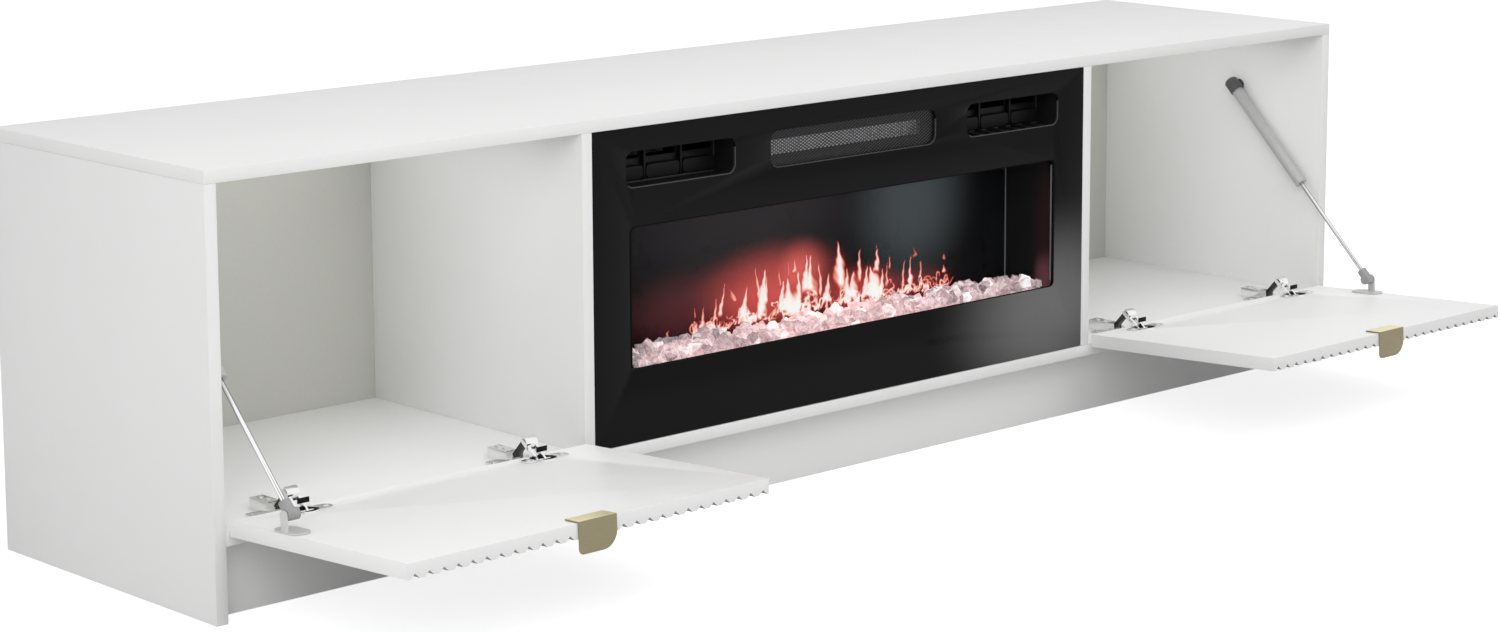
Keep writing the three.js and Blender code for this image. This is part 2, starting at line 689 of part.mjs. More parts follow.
// The warm-air outlet: a plate pierced with diamonds
function addOutletGrille() {
  const halfWidth = outletWidth / 2 + grilleFlange;
  const halfHeight = outletHeight / 2 + grilleFlange;
  const plate = roundedRectangle(
    -halfWidth, halfWidth, airRowZ - halfHeight, airRowZ + halfHeight,
    outletCorner, outletCorner, outletCorner, outletCorner);
  const grilleColumns = Math.round((outletWidth - outletCorner) / grillePitch);
  const stepX = (outletWidth - outletCorner) / grilleColumns;
  const stepZ = outletHeight / grilleRows;
  for (let column = 0; column < grilleColumns; column++) {
    for (let row = 0; row < grilleRows; row++) {
      const x = (column - (grilleColumns - 1) / 2) * stepX;
      const z = airRowZ + (row - (grilleRows - 1) / 2) * stepZ;
      const diamond = new THREE.Path();
      diamond.moveTo(x - stepX / 2 + grilleBar / 2, -z);
      diamond.lineTo(x, -z - stepZ / 2 + grilleBar / 2);
      diamond.lineTo(x + stepX / 2 - grilleBar / 2, -z);
      diamond.lineTo(x, -z + stepZ / 2 - grilleBar / 2);
      diamond.closePath();
      plate.holes.push(diamond);
    }
  }
  place(group, 'outlet_grille', slabAlongY(plate, fasciaBackY, fasciaBackY + grilleThickness), meshSteel());
}

// The outer case of the fireplace, open at the front, with slots and a cable hole behind
function addHousing() {
  const half = housingWidth / 2;
  const shell = block(-half, half, fasciaBackY, housingRearY, floorZ, housingTopZ);
  const hollow = block(
    -half + sheetThickness, half - sheetThickness, fasciaBackY - overrun, housingRearY - sheetThickness,
    floorZ + sheetThickness, housingTopZ - sheetThickness);
  const slots = [];
  const spread = housingWidth / (rearSlotColumns + 1);
  for (let column = 0; column < rearSlotColumns; column++) {
    for (let row = 0; row < rearSlotRows; row++) {
      const x = (column - (rearSlotColumns - 1) / 2) * spread;
      const z = housingTopZ - rearSlotDrop - row * rearSlotPitch;
      slots.push(block(
        x - rearSlotWidth / 2, x + rearSlotWidth / 2,
        housingRearY - overrun, housingRearY + overrun, z, z + rearSlotHeight));
    }
  }
  const cableHole = barY(
    glandNeckRadius + seatGap, housingRearY - overrun, housingRearY + overrun, glandX, floorZ + glandRise, 24);
  place(group, 'fireplace_housing', cut(toSolid(shell), hollow, ...slots, cableHole), blackSheet());
}

// Tray, side walls and roof of the firebox, with two cheeks above for the blower
function addChassis() {
  const outerX = chassisHalfWidth + chassisThickness;
  const roofTop = roofZ + chassisThickness;
  const housingInner = housingWidth / 2 - sheetThickness;
  const tray = block(-outerX, outerX, fasciaBackY, chassisRearY, trayZ - chassisThickness, trayZ);
  const roof = block(-outerX, outerX, fasciaBackY, chassisRearY, roofZ, roofTop);
  const walls = [-1, 1].map((side) => block(
    Math.min(side * chassisHalfWidth, side * outerX), Math.max(side * chassisHalfWidth, side * outerX),
    fasciaBackY, chassisRearY, trayZ - chassisThickness, roofTop));
  const ears = [-1, 1].map((side) => block(
    Math.min(side * chassisHalfWidth, side * housingInner), Math.max(side * chassisHalfWidth, side * housingInner),
    chassisRearY - chassisThickness, chassisRearY, trayZ - chassisThickness, roofTop));
  const cheeks = [-1, 1].map((side) => block(
    side * cheekDistance - chassisThickness / 2, side * cheekDistance + chassisThickness / 2,
    fasciaBackY + grilleThickness, chassisRearY, roofZ, housingTopZ - sheetThickness));
  const shaftHole = barX(
    shaftRadius + runningGap, -housingInner, housingInner, spindleY, spindleZ, 16);
  const blowerHole = barX(
    shaftRadius + runningGap, -housingInner / 2, housingInner / 2, blowerY, airRowZ, 16);
  const glow = slabAlongY(
    roundedRectangle(-outerX, outerX, trayZ, trayZ + chassisThickness, 0, 0, 0, 0), screenY - chassisThickness, screenY);
  place(group, 'firebox_chassis',
    cut(join(tray, roof, ...walls, ...ears, ...cheeks, glow), shaftHole, blowerHole), blackSheet());
  place(group, 'flame_screen', block(
    -chassisHalfWidth, chassisHalfWidth, screenY, screenY + screenThickness, trayZ, roofZ), smokedMirror());
}

// The bed of clear crystals on its tray. Sizes and turns come from a fixed sequence.
function addCrystals() {
  let seed = 7;
  const next = () => {
    seed = (seed * 16807) % 2147483647;
    return seed / 2147483647;
  };
  const bedHalf = chassisHalfWidth - fireboxMargin;
  const bedFront = fasciaBackY + fireboxMargin;
  const bedBack = screenY - chassisThickness - seatGap;
  const baseTop = trayZ + crystalSize / 2;
  const pieces = [block(-bedHalf, bedHalf, bedFront, bedBack, trayZ, baseTop)];
  const crystalPitch = 2 * (bedHalf - crystalEndDistance) / (crystalsPerRow - 1);
  const rowStart = bedFront + crystalSize * firstRowShare;
  for (let row = 0; row < crystalRows; row++) {
    for (let i = 0; i < crystalsPerRow; i++) {
      const stoneShare = smallestStoneShare + stoneGrowthShare * next();
      const stone = new THREE.IcosahedronGeometry(crystalSize * stoneShare, 0);
      stone.scale(...stoneFormShares);
      stone.rotateX(next() * Math.PI).rotateZ(next() * Math.PI);
      stone.translate(
        (i - (crystalsPerRow - 1) / 2) * crystalPitch + (next() - 0.5) * crystalPitch * stoneDriftShare,
        rowStart + row * crystalRowPitch + (next() - 0.5) * crystalRowPitch * rowDriftShare,
        baseTop + crystalSize * (lowestStoneShare + stoneRiseShare * next() + row * rowRiseShare));
      pieces.push(stone);
    }
  }
  const room = block(-bedHalf, bedHalf, bedFront, bedBack, trayZ, windowTopZ);
  const bed = join(...pieces).intersect(toSolid(room));
  place(group, 'crystal_bed', bed, crystalGlass());
}

// The finned rod that makes the light flicker, with its motor and lamp bar
function addFlameDrive() {
  const housingInner = housingWidth / 2 - sheetThickness;
  const rodHalf = chassisHalfWidth - fireboxMargin;
  const motorX = chassisHalfWidth + chassisThickness + seatGap;
  const pieces = [
    barX(spindleRadius, -rodHalf, rodHalf, 0, 0, 12),
    barX(shaftRadius, -motorX, motorX, 0, 0, 12),
  ];
  const finSpan = 2 * rodHalf / (spindleFinCount + 1);
  for (let i = 0; i < spindleFinCount; i++) {
    const x = -rodHalf + (i + 1) * finSpan;
    const fin = block(
      x - finSpan / 4, x + finSpan / 4, -spindleFinRadius, spindleFinRadius,
      -spindleFinThickness / 2, spindleFinThickness / 2);
    pieces.push(fin.rotateX(i * Math.PI / 3));
  }
  const spindle = join(...pieces).translate([0, spindleY, spindleZ]);
  place(group, 'flame_spindle', spindle, bareAluminium());
  const motor = join(
    barX(motorRadius, motorX + seatGap, motorX + motorLength, spindleY, spindleZ, 24),
    block(motorX + motorLength - chassisThickness, housingInner, spindleY - motorRadius, spindleY + motorRadius,
      spindleZ - motorRadius, spindleZ + motorRadius));
  place(group, 'spindle_motor', motor, darkPlastic());
  const lampY = screenY - ledBarDepth;
  place(group, 'led_bar', block(
    -rodHalf, rodHalf, lampY - ledBarDepth / 2, lampY + ledBarDepth / 2,
    trayZ - chassisThickness - ledBarHeight, trayZ - chassisThickness), lampWhite());
}

// Warm air: a finned element behind the outlet, and a cross-flow blower with its motor
function addHeater() {
  const inner = cheekDistance - chassisThickness / 2;
  const frontZ0 = airRowZ - heaterHeight / 2;
  const frontZ1 = airRowZ + heaterHeight / 2;
  const y0 = fasciaBackY + grilleThickness;
  const y1 = y0 + heaterDepth;
  const body = block(-inner, inner, y0, y1, frontZ0, frontZ1);
  const finCount = Math.round(2 * inner / heaterFinPitch);
  const pitch = 2 * inner / finCount;
  const gaps = [];
  for (let i = 1; i < finCount; i++) {
    const x = -inner + i * pitch;
    gaps.push(block(
      x - heaterFinGap / 2, x + heaterFinGap / 2, y0 - overrun, y1 + overrun,
      frontZ0 + heaterRail, frontZ1 - heaterRail));
  }
  place(group, 'heater_element', cut(toSolid(body), ...gaps), bareAluminium());

  const rotorHalf = inner - 2 * blowerDisc;
  const parts = [
    barX(blowerCore, -rotorHalf, rotorHalf, 0, 0, 12),
    barX(blowerRadius, -rotorHalf, -rotorHalf + blowerDisc, 0, 0, 24),
    barX(blowerRadius, rotorHalf - blowerDisc, rotorHalf, 0, 0, 24),
    barX(shaftRadius, -cheekDistance, cheekDistance + chassisThickness, 0, 0, 12),
  ];
  for (let i = 0; i < blowerBladeCount; i++) {
    const blade = block(
      -rotorHalf, rotorHalf, blowerRadius - 3 * blowerBlade, blowerRadius - blowerBlade,
      -blowerBlade / 2, blowerBlade / 2);
    parts.push(blade.rotateX(i * 2 * Math.PI / blowerBladeCount));
  }
  const rotor = join(...parts).translate([0, blowerY, airRowZ]);
  place(group, 'blower_rotor', rotor, darkPlastic());

  const motorStart = cheekDistance + chassisThickness + seatGap;
  const motor = join(
    barX(motorRadius, motorStart, motorStart + motorLength, blowerY, airRowZ, 24),
    block(motorStart, motorStart + motorLength, blowerY - motorRadius / 2, blowerY + motorRadius / 2,
      roofZ + chassisThickness, airRowZ));
  place(group, 'blower_motor', motor, darkPlastic());
}

// The bush in the rear wall that the supply cable leaves through
function addGland() {
  const inside = housingRearY - 2 * sheetThickness;
  const profile = [
    new THREE.Vector2(glandBore, inside),
    new THREE.Vector2(glandNeckRadius, inside),
    new THREE.Vector2(glandNeckRadius, housingRearY + seatGap),
    new THREE.Vector2(glandRadius, housingRearY + seatGap),
    new THREE.Vector2(glandNeckRadius, housingRearY + glandLength),
    new THREE.Vector2(glandBore, housingRearY + glandLength),
    new THREE.Vector2(glandBore, inside),
  ];
  const bush = new THREE.LatheGeometry(profile, 24).translate(glandX, 0, floorZ + glandRise);
  place(group, 'cable_gland', bush, darkPlastic());
}

addCarcass();
addBacks();
addDoor('left', -1);
addDoor('right', 1);
addFascia();
addVent('vent_left', -ventDistance);
addVent('vent_right', ventDistance);
addOutletGrille();
addHousing();
addChassis();
addCrystals();
addFlameDrive();
addHeater();
addGland();

export default group;
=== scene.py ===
import json
import math
import random

import bmesh
import bpy
import numpy as np
from mathutils import Matrix, Vector


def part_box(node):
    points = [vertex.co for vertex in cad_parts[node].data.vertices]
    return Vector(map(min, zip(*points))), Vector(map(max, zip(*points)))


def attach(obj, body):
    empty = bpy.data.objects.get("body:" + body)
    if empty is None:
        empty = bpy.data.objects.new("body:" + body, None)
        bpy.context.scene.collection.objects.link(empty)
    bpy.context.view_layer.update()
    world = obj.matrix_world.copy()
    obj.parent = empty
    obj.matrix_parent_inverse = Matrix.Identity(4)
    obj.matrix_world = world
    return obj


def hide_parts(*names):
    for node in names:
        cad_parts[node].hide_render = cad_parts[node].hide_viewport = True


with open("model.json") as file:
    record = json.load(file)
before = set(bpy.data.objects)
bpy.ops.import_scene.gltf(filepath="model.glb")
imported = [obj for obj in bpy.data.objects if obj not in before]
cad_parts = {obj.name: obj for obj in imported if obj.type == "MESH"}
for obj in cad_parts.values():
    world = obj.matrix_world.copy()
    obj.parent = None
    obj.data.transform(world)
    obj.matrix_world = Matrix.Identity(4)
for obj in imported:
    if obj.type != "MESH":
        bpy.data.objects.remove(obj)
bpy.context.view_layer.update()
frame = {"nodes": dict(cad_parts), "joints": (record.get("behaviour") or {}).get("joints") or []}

# Sizes in metres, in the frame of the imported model
MM = 0.001
SMALL_EASE = 0.25 * MM
BOARD_EASE = 0.8 * MM
DOOR_EASE = 0.5 * MM
EASE_SEGMENTS = 2
SAME_POINT = 0.002 * MM
FLAT_ANGLE = math.radians(0.6)
SHARP_ANGLE = math.radians(28)
FULL_TURN = 2 * math.pi
ROUND_STEPS = 6
LATHE_SIDES = 32
SCREW_SIDES = 20

SIDES = ("left", "right")
PLACES = ("outer", "inner")
ENDS = (-1, 1)


# Building meshes
def add_corners(build, outline, depth):
    """Vertices at the (x, z) points of an outline, all at one depth."""
    return [build.verts.new((x, depth, z)) for x, z in outline]


def add_prism(build, outline, low, high):
    """A closed slab: an outline in X and Z, pushed along Y."""
    near = add_corners(build, outline, low)
    far = add_corners(build, outline, high)
    build.faces.new(near)
    build.faces.new(list(reversed(far)))
    for i in range(len(outline)):
        j = (i + 1) % len(outline)
        build.faces.new((near[j], near[i], far[i], far[j]))


def add_box(build, low, high):
    outline = ((low[0], low[2]), (high[0], low[2]), (high[0], high[2]), (low[0], high[2]))
    add_prism(build, outline, low[1], high[1])


def add_ring(build, outer, inner, low, high):
    """A closed frame between two outlines with the same number of points."""
    loops = [add_corners(build, outline, depth)
             for outline, depth in ((outer, low), (outer, high), (inner, high), (inner, low))]
    count = len(outer)
    for a in range(len(loops)):
        b = (a + 1) % len(loops)
        for i in range(count):
            j = (i + 1) % count
            build.faces.new((loops[a][i], loops[a][j], loops[b][j], loops[b][i]))


def add_lathe(build, profile, place, sides=LATHE_SIDES):
    """Turns a profile of (radius, height) points about the Z axis of a place."""
    rings = []
    for radius, height in profile:
        if radius == 0:
            rings.append([build.verts.new(place @ Vector((0, 0, height)))])
            continue
        ring = []
        for i in range(sides):
            angle = FULL_TURN * i / sides
            point = Vector((radius * math.cos(angle), radius * math.sin(angle), height))
            ring.append(build.verts.new(place @ point))
        rings.append(ring)
    for lower, upper in zip(rings, rings[1:]):
        for i in range(sides):
            j = (i + 1) % sides
            face = (lower[i % len(lower)], lower[j % len(lower)],
                    upper[j % len(upper)], upper[i % len(upper)])
            build.faces.new(list(dict.fromkeys(face)))


def rounded(x, z, width, height, corner):
    """The points of a rectangle with round corners, about its middle."""
    points = []
    quarters = ((1, 1, 0), (-1, 1, 1), (-1, -1, 2), (1, -1, 3))
    for side, level, quarter in quarters:
        centre_x = x + side * (width / 2 - corner)
        centre_z = z + level * (height / 2 - corner)
        for step in range(ROUND_STEPS + 1):
            angle = (quarter + step / ROUND_STEPS) * math.pi / 2
            points.append((centre_x + corner * math.cos(angle), centre_z + corner * math.sin(angle)))
    return points


def add_lip(build, x, z, width, height, corner, thickness):
    """A thin lip inside an opening of the fascia, along its floor and up its right end, where it stands as a
    painted highlight on the rim.
    """
    outer = rounded(x, z, width, height, corner)
    inner = rounded(x, z, width - 2 * thickness, height - 2 * thickness, corner - thickness)
    quarter = ROUND_STEPS + 1
    run = [*range(2 * quarter + quarter // 2, 4 * quarter), 0]
    outline = [outer[i] for i in run] + [inner[i] for i in reversed(run)]
    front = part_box("fascia_panel")[0].y
    add_prism(build, outline, front - LIP_PROUD, front + LIP_DEPTH)


def ease_edges(build, width):
    """Rounds the sharp edges a little, as on any real piece."""
    sharp = [edge for edge in build.edges
             if len(edge.link_faces) == 2 and edge.calc_face_angle(0) > SHARP_ANGLE]
    if width and sharp:
        bmesh.ops.bevel(build, geom=sharp, offset=width, offset_type="OFFSET", segments=EASE_SEGMENTS,
                        profile=0.5, affect="EDGES", clamp_overlap=True)


def make_piece(name, build, body, look, replaced=(), ease=SMALL_EASE):
    """Turns a finished build into a named object that rides on a body."""
    bmesh.ops.recalc_face_normals(build, faces=build.faces)
    ease_edges(build, ease)
    mesh = bpy.data.meshes.new(name)
    build.to_mesh(mesh)
    build.free()
    mesh.polygons.foreach_set("use_smooth", [True] * len(mesh.polygons))
    mesh.set_sharp_from_angle(angle=SHARP_ANGLE)
    piece = bpy.data.objects.new(name, mesh)
    bpy.context.scene.collection.objects.link(piece)
    piece.data.materials.append(look)
    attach(piece, body)
    if replaced:
        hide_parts(*replaced)
    return piece


def node_build(node):
    """The shape of a CAD node with its flat faces made whole."""
    build = bmesh.new()
    build.from_mesh(frame["nodes"][node].data)
    bmesh.ops.remove_doubles(build, verts=build.verts, dist=SAME_POINT)
    bmesh.ops.dissolve_limit(build, angle_limit=FLAT_ANGLE, verts=build.verts, edges=build.edges)
    return build


def eased_node(node, body, look, ease=SMALL_EASE):
    return make_piece(f"{node}_eased", node_build(node), body, look, (node,), ease)


# Shader nodes
EVEN = (1, 1, 1)
NOISE_LOW = 0.3
NOISE_HIGH = 0.7
BUMP_STRENGTH = 0.4


def add_node(owner, kind, links=None, values=None, **settings):
    """A node of a material or of the world, with its settings, constant inputs and links into it."""
    tree = owner.node_tree
    node = tree.nodes.new("ShaderNode" + kind)
    for name, setting in settings.items():
        setattr(node, name, setting)
    for socket, value in (values or {}).items():
        node.inputs[socket].default_value = value
    for socket, source in (links or {}).items():
        tree.links.new(source, node.inputs[socket])
    return node


def feed(shader, socket, source):
    """Links another node's output into one input of a shader."""
    shader.id_data.links.new(source, shader.inputs[socket])


def new_material(name, color, roughness, metallic=0.0, gloss=0.5):
    material = bpy.data.materials.new(name)
    material.use_nodes = True
    shader = material.node_tree.nodes["Principled BSDF"]
    shader.inputs["Base Color"].default_value = (*color, 1)
    shader.inputs["Roughness"].default_value = roughness
    shader.inputs["Metallic"].default_value = metallic
    shader.inputs["Specular IOR Level"].default_value = gloss
    return material, shader


def object_point(material, stretch=EVEN):
    """Places in metres on the piece, stretched for grain that runs one way."""
    where = add_node(material, "TexCoord")
    mapping = add_node(material, "Mapping", {"Vector": where.outputs["Object"]}, {"Scale": stretch})
    return mapping.outputs["Vector"]


def noise_of(material, scale, detail=4.0, stretch=EVEN):
    links = {"Vector": object_point(material, stretch)}
    return add_node(material, "TexNoise", links, {"Scale": scale, "Detail": detail}).outputs["Fac"]


def normal_part(material, axis):
    """One part of the direction that the surface faces, in the frame of the piece."""
    where = add_node(material, "TexCoord")
    return add_node(material, "SeparateXYZ", {"Vector": where.outputs["Normal"]}).outputs[axis]


def ramp_of(material, factor, stops):
    """A colour ramp from (place, colour) stops."""
    ramp = add_node(material, "ValToRGB", {"Fac": factor})
    elements = ramp.color_ramp.elements
    while len(elements) < len(stops):
        elements.new(0.5)
    for element, (position, color) in zip(elements, stops):
        element.position = position
        element.color = (*color, 1)
    return ramp.outputs["Color"]


def span_of(owner, value, start, end, low=0, high=1, curve="LINEAR"):
    """A value moved from between start and end to between low and high, and held beyond them."""
    reach = {"From Min": start, "From Max": end, "To Min": low, "To Max": high}
    return add_node(owner, "MapRange", {"Value": value}, reach, interpolation_type=curve).outputs["Result"]


def drift_of(material, color, spread, scale, stretch=EVEN):
    """The colour, drifting a little over the surface."""
    dark = [value * (1 - spread) for value in color]
    light = [min(1.0, value * (1 + spread)) for value in color]
    noise = noise_of(material, scale, stretch=stretch)
    return ramp_of(material, noise, ((NOISE_LOW, dark), (NOISE_HIGH, light)))


def mottle(material, shader, color, spread, scale):
    feed(shader, "Base Color", drift_of(material, color, spread, scale))


def vary_roughness(material, shader, low, high, scale, stretch=EVEN):
    noise = noise_of(material, scale, stretch=stretch)
    feed(shader, "Roughness", span_of(material, noise, NOISE_LOW, NOISE_HIGH, low, high))


def add_bump(material, shader, scale, depth, stretch=EVEN):
    bump = add_node(material, "Bump", {"Height": noise_of(material, scale, stretch=stretch)},
                    {"Strength": BUMP_STRENGTH, "Distance": depth})
    feed(shader, "Normal", bump.outputs["Normal"])


def glow_spot(material, centre, reach):
    """One at a point, falling off to zero at its reach. A reach of None leaves that axis out."""
    scale = [1 / size if size else 0 for size in reach]
    shift = [-spot * size for spot, size in zip(centre, scale)]
    where = add_node(material, "TexCoord")
    move = add_node(material, "Mapping", {"Vector": where.outputs["Object"]},
                    {"Scale": scale, "Location": shift}, vector_type="POINT")
    length = add_node(material, "VectorMath", {0: move.outputs["Vector"]}, operation="LENGTH")
    return span_of(material, length.outputs["Value"], 1, 0, curve="SMOOTHERSTEP")


def tinted(material, factor, color):
    mix = add_node(material, "Mix", {"Factor": factor}, {"A": (0, 0, 0, 1), "B": (*color, 1)},
                   data_type="RGBA")
    return mix.outputs["Result"]


def glows_of(material, table):
    """The coloured lights of a table of glows."""
    return [tinted(material, glow_spot(material, centre, reach), color) for centre, reach, color in table]


def summed(material, colors):
    total = colors[0]
    for color in colors[1:]:
        total = add_node(material, "VectorMath", {0: total, 1: color}, operation="ADD").outputs["Vector"]
    return total


# Materials, with the depth of the grain in their surfaces
LAMINATE_GRAIN = 0.05 * MM
HARDBOARD_GRAIN = 0.08 * MM
BRUSHED_GRAIN = 0.02 * MM
PAINT_GRAIN = 0.02 * MM
PLASTIC_GRAIN = 0.03 * MM
SHEET_GRAIN = 0.03 * MM


def finish_laminate(material, shader):
    vary_roughness(material, shader, low=0.4, high=0.5, scale=25)
    add_bump(material, shader, scale=900, depth=LAMINATE_GRAIN)


def make_white_board():
    color = (0.86, 0.86, 0.855)
    material, shader = new_material("white_laminate", color, roughness=0.45)
    mottle(material, shader, color, spread=0.008, scale=6)
    finish_laminate(material, shader)
    return material


def make_grooved_board():
    """White board, lighter than the carcass board as painted light, with painted shade in the slopes of its V
    grooves.
    """
    color = (0.92, 0.92, 0.915)
    shade = (0.2, 0.2, 0.2)
    material, shader = new_material("grooved_laminate", color, roughness=0.45)
    tilt = add_node(material, "Math", {0: normal_part(material, "X")}, operation="ABSOLUTE")
    # Painted shade on the groove slopes, picked out by how far the surface tilts sideways.
    stops = ((0.3, color), (0.45, shade), (0.88, shade), (0.97, color))
    feed(shader, "Base Color", ramp_of(material, tilt.outputs["Value"], stops))
    finish_laminate(material, shader)
    return material


def make_hardboard():
    color = (0.63, 0.63, 0.588)
    material, shader = new_material("grey_hardboard", color, roughness=0.7)
    mottle(material, shader, color, spread=0.05, scale=700)
    add_bump(material, shader, scale=700, depth=HARDBOARD_GRAIN)
    return material


def make_brass():
    """Olive brass, much paler where it faces up: painted light on its upper faces."""
    color = (0.275, 0.24, 0.14)
    pale = (0.87, 0.79, 0.49)
    grain = (0.05, 1, 1)
    material, shader = new_material("brushed_olive_brass", color, roughness=0.42, metallic=0.4)
    brushed = drift_of(material, color, spread=0.08, scale=1500, stretch=grain)
    # Painted light: faces that look up turn to the pale colour.
    top_light_mask = span_of(material, normal_part(material, "Z"), 0.3, 0.8)
    mix = add_node(material, "Mix", {"Factor": top_light_mask, "A": brushed}, {"B": (*pale, 1)}, data_type="RGBA")
    feed(shader, "Base Color", mix.outputs["Result"])
    vary_roughness(material, shader, low=0.36, high=0.48, scale=1500, stretch=grain)
    add_bump(material, shader, scale=2500, depth=BRUSHED_GRAIN, stretch=grain)
    return material


def make_chrome():
    color = (0.88, 0.885, 0.89)
    material, shader = new_material("chrome", color, roughness=0.15, metallic=1.0)
    mottle(material, shader, color, spread=0.02, scale=60)
    vary_roughness(material, shader, low=0.12, high=0.2, scale=120)
    return material


def make_rod_steel():
    """Polished steel with painted reflections: dark along the rod's middle and along both its edges."""
    color = (0.92, 0.92, 0.93)
    dark = (0.36, 0.36, 0.37)
    material, shader = new_material("polished_rod", color, roughness=0.15, metallic=1.0)
    edge = add_node(material, "LayerWeight", values={"Blend": 0.5})
    # Painted reflections: dark bands set by how the surface faces the view.
    stops = ((0.0, dark), (0.02, dark), (0.06, color), (0.24, color), (0.38, dark), (1.0, dark))
    feed(shader, "Base Color", ramp_of(material, edge.outputs["Facing"], stops))
    vary_roughness(material, shader, low=0.12, high=0.2, scale=300)
    return material


def make_grey_paint(name, color):
    material, shader = new_material(name, color, roughness=0.38, metallic=0.2)
    mottle(material, shader, color, spread=0.03, scale=90)
    add_bump(material, shader, scale=1800, depth=PAINT_GRAIN)
    return material


def make_plastic(name, color, roughness, gloss=0.5):
    material, shader = new_material(name, color, roughness, gloss=gloss)
    mottle(material, shader, color, spread=0.06, scale=150)
    vary_roughness(material, shader, roughness - 0.06, roughness + 0.06, scale=300)
    add_bump(material, shader, scale=2200, depth=PLASTIC_GRAIN)
    return material


# Painted reflections on the black glass, as lighter zones: middle, reach and colour
PAINTED_GLASS_REFLECTIONS = (
    ((0.370, 0, 0.168), (0.250, None, 0.180), (0.160, 0.160, 0.160)),
    ((0.460, 0, 0.250), (0.120, None, 0.200), (0.007, 0.007, 0.0075)),
)


def make_black_glass():
    color = (0.004, 0.004, 0.0045)
    light = [value * 1.1 for value in color]
    material, shader = new_material("black_glass", color, roughness=0.06, gloss=0.06)
    ground = ramp_of(material, noise_of(material, 8), ((NOISE_LOW, color), (NOISE_HIGH, light)))
    # The ground colour with the painted reflections added.
    feed(shader, "Base Color", summed(material, [ground, *glows_of(material, PAINTED_GLASS_REFLECTIONS)]))
    vary_roughness(material, shader, low=0.05, high=0.1, scale=40)
    return material


def make_black_sheet():
    color = (0.012, 0.012, 0.013)
    material, shader = new_material("black_sheet_metal", color, roughness=0.42, gloss=0.35)
    mottle(material, shader, color, spread=0.1, scale=40)
    add_bump(material, shader, scale=1500, depth=SHEET_GRAIN)
    return material


def make_clear_glass():
    """A pane that shows what is behind it under a faint reflection."""
    dark = (0.9, 0.92, 0.92)
    light = (0.93, 0.95, 0.95)
    material = bpy.data.materials.new("window_pane")
    material.use_nodes = True
    nodes = material.node_tree.nodes
    nodes.remove(nodes["Principled BSDF"])
    tint = ramp_of(material, noise_of(material, 5), ((NOISE_LOW, dark), (NOISE_HIGH, light)))
    clear = add_node(material, "BsdfTransparent", {"Color": tint})
    gloss = add_node(material, "BsdfGlossy", values={"Roughness": 0.03, "Color": (0.35, 0.35, 0.36, 1)})
    edge = add_node(material, "LayerWeight", values={"Blend": 0.5})
    steep = add_node(material, "Math", {0: edge.outputs["Facing"]}, {1: 5}, operation="POWER")
    blend = add_node(material, "MixShader", {
        "Fac": steep.outputs["Value"], 1: clear.outputs["BSDF"], 2: gloss.outputs["BSDF"]})
    feed(nodes["Material Output"], "Surface", blend.outputs["Shader"])
    return material


# Glows on the screen: middle, reach and colour
SCREEN_GLOWS = (
    ((-0.060, 0, 0.249), (0.175, None, 0.074), (0.46, 0.062, 0.054)),
    ((-0.005, 0, 0.266), (0.060, None, 0.052), (0.36, 0.060, 0.052)),
    ((-0.080, 0, 0.225), (0.125, None, 0.050), (0.22, 0.026, 0.024)),
    ((0.100, 0, 0.218), (0.105, None, 0.048), (0.42, 0.045, 0.040)),
    ((0.210, 0, 0.212), (0.100, None, 0.036), (0.13, 0.014, 0.016)),
    ((0.200, 0, 0.330), (0.152, None, 0.160), (0.050, 0.057, 0.061)),
    ((-0.110, 0, 0.350), (0.340, None, 0.150), (0.023, 0.018, 0.020)),
    ((-0.210, 0, 0.240), (0.150, None, 0.070), (0.070, 0.014, 0.016)),
    ((-0.383, 0, 0.275), (0.016, None, 0.045), (0.05, 0.010, 0.014)),
)
# Flame colour by warmth, and the warmth at which flames hide the screen
FLAME_COLORS = (
    (0.0, (0.25, 0.015, 0.015)), (0.3, (0.62, 0.08, 0.06)), (0.52, (0.88, 0.28, 0.22)),
    (0.75, (1.0, 0.66, 0.58)), (0.95, (1.0, 0.95, 0.92)),
)
FLAME_COVER = 0.4
SCREEN_BRIGHTNESS = 1.1


def make_screen():
    """Dark mirror with glows, and flames where the warmth attribute says."""
    material, shader = new_material("flame_screen", (0.004, 0.004, 0.005), roughness=0.3, gloss=0.05)
    glows = summed(material, glows_of(material, SCREEN_GLOWS))
    warmth = add_node(material, "Attribute", attribute_name="warmth").outputs["Fac"]
    flame = ramp_of(material, warmth, FLAME_COLORS)
    cover = span_of(material, warmth, 0, FLAME_COVER, curve="SMOOTHSTEP")
    mix = add_node(material, "Mix", {"Factor": cover, "A": glows, "B": flame}, data_type="RGBA")
    feed(shader, "Emission Color", mix.outputs["Result"])
    shader.inputs["Emission Strength"].default_value = SCREEN_BRIGHTNESS
    vary_roughness(material, shader, low=0.25, high=0.35, scale=30)
    return material


# Light on the crystals: middle, reach and colour
CRYSTAL_GLOWS = (
    ((0.010, -0.145, 0), (0.220, 0.060, None), (0.45, 0.25, 0.23)),
    ((-0.040, -0.215, 0), (0.450, 0.100, None), (0.19, 0.095, 0.09)),
)
CRYSTAL_LIGHT = (-0.45, -0.55, 0.70)
CRYSTAL_TONES = (
    (0.0, (0.17, 0.14, 0.15)), (0.3, (0.36, 0.26, 0.27)), (0.65, (0.56, 0.40, 0.41)),
    (0.9, (0.66, 0.56, 0.56)), (1.0, (0.80, 0.77, 0.77)),
)
CRYSTAL_VEINS = ((0.38, (0.55, 0.5, 0.5)), (0.62, (1, 1, 1)))
CRYSTAL_GLINTS = ((0.0, (0.34, 0.31, 0.31)), (0.05, (0, 0, 0)))
CRYSTAL_BRIGHTNESS = 1.2


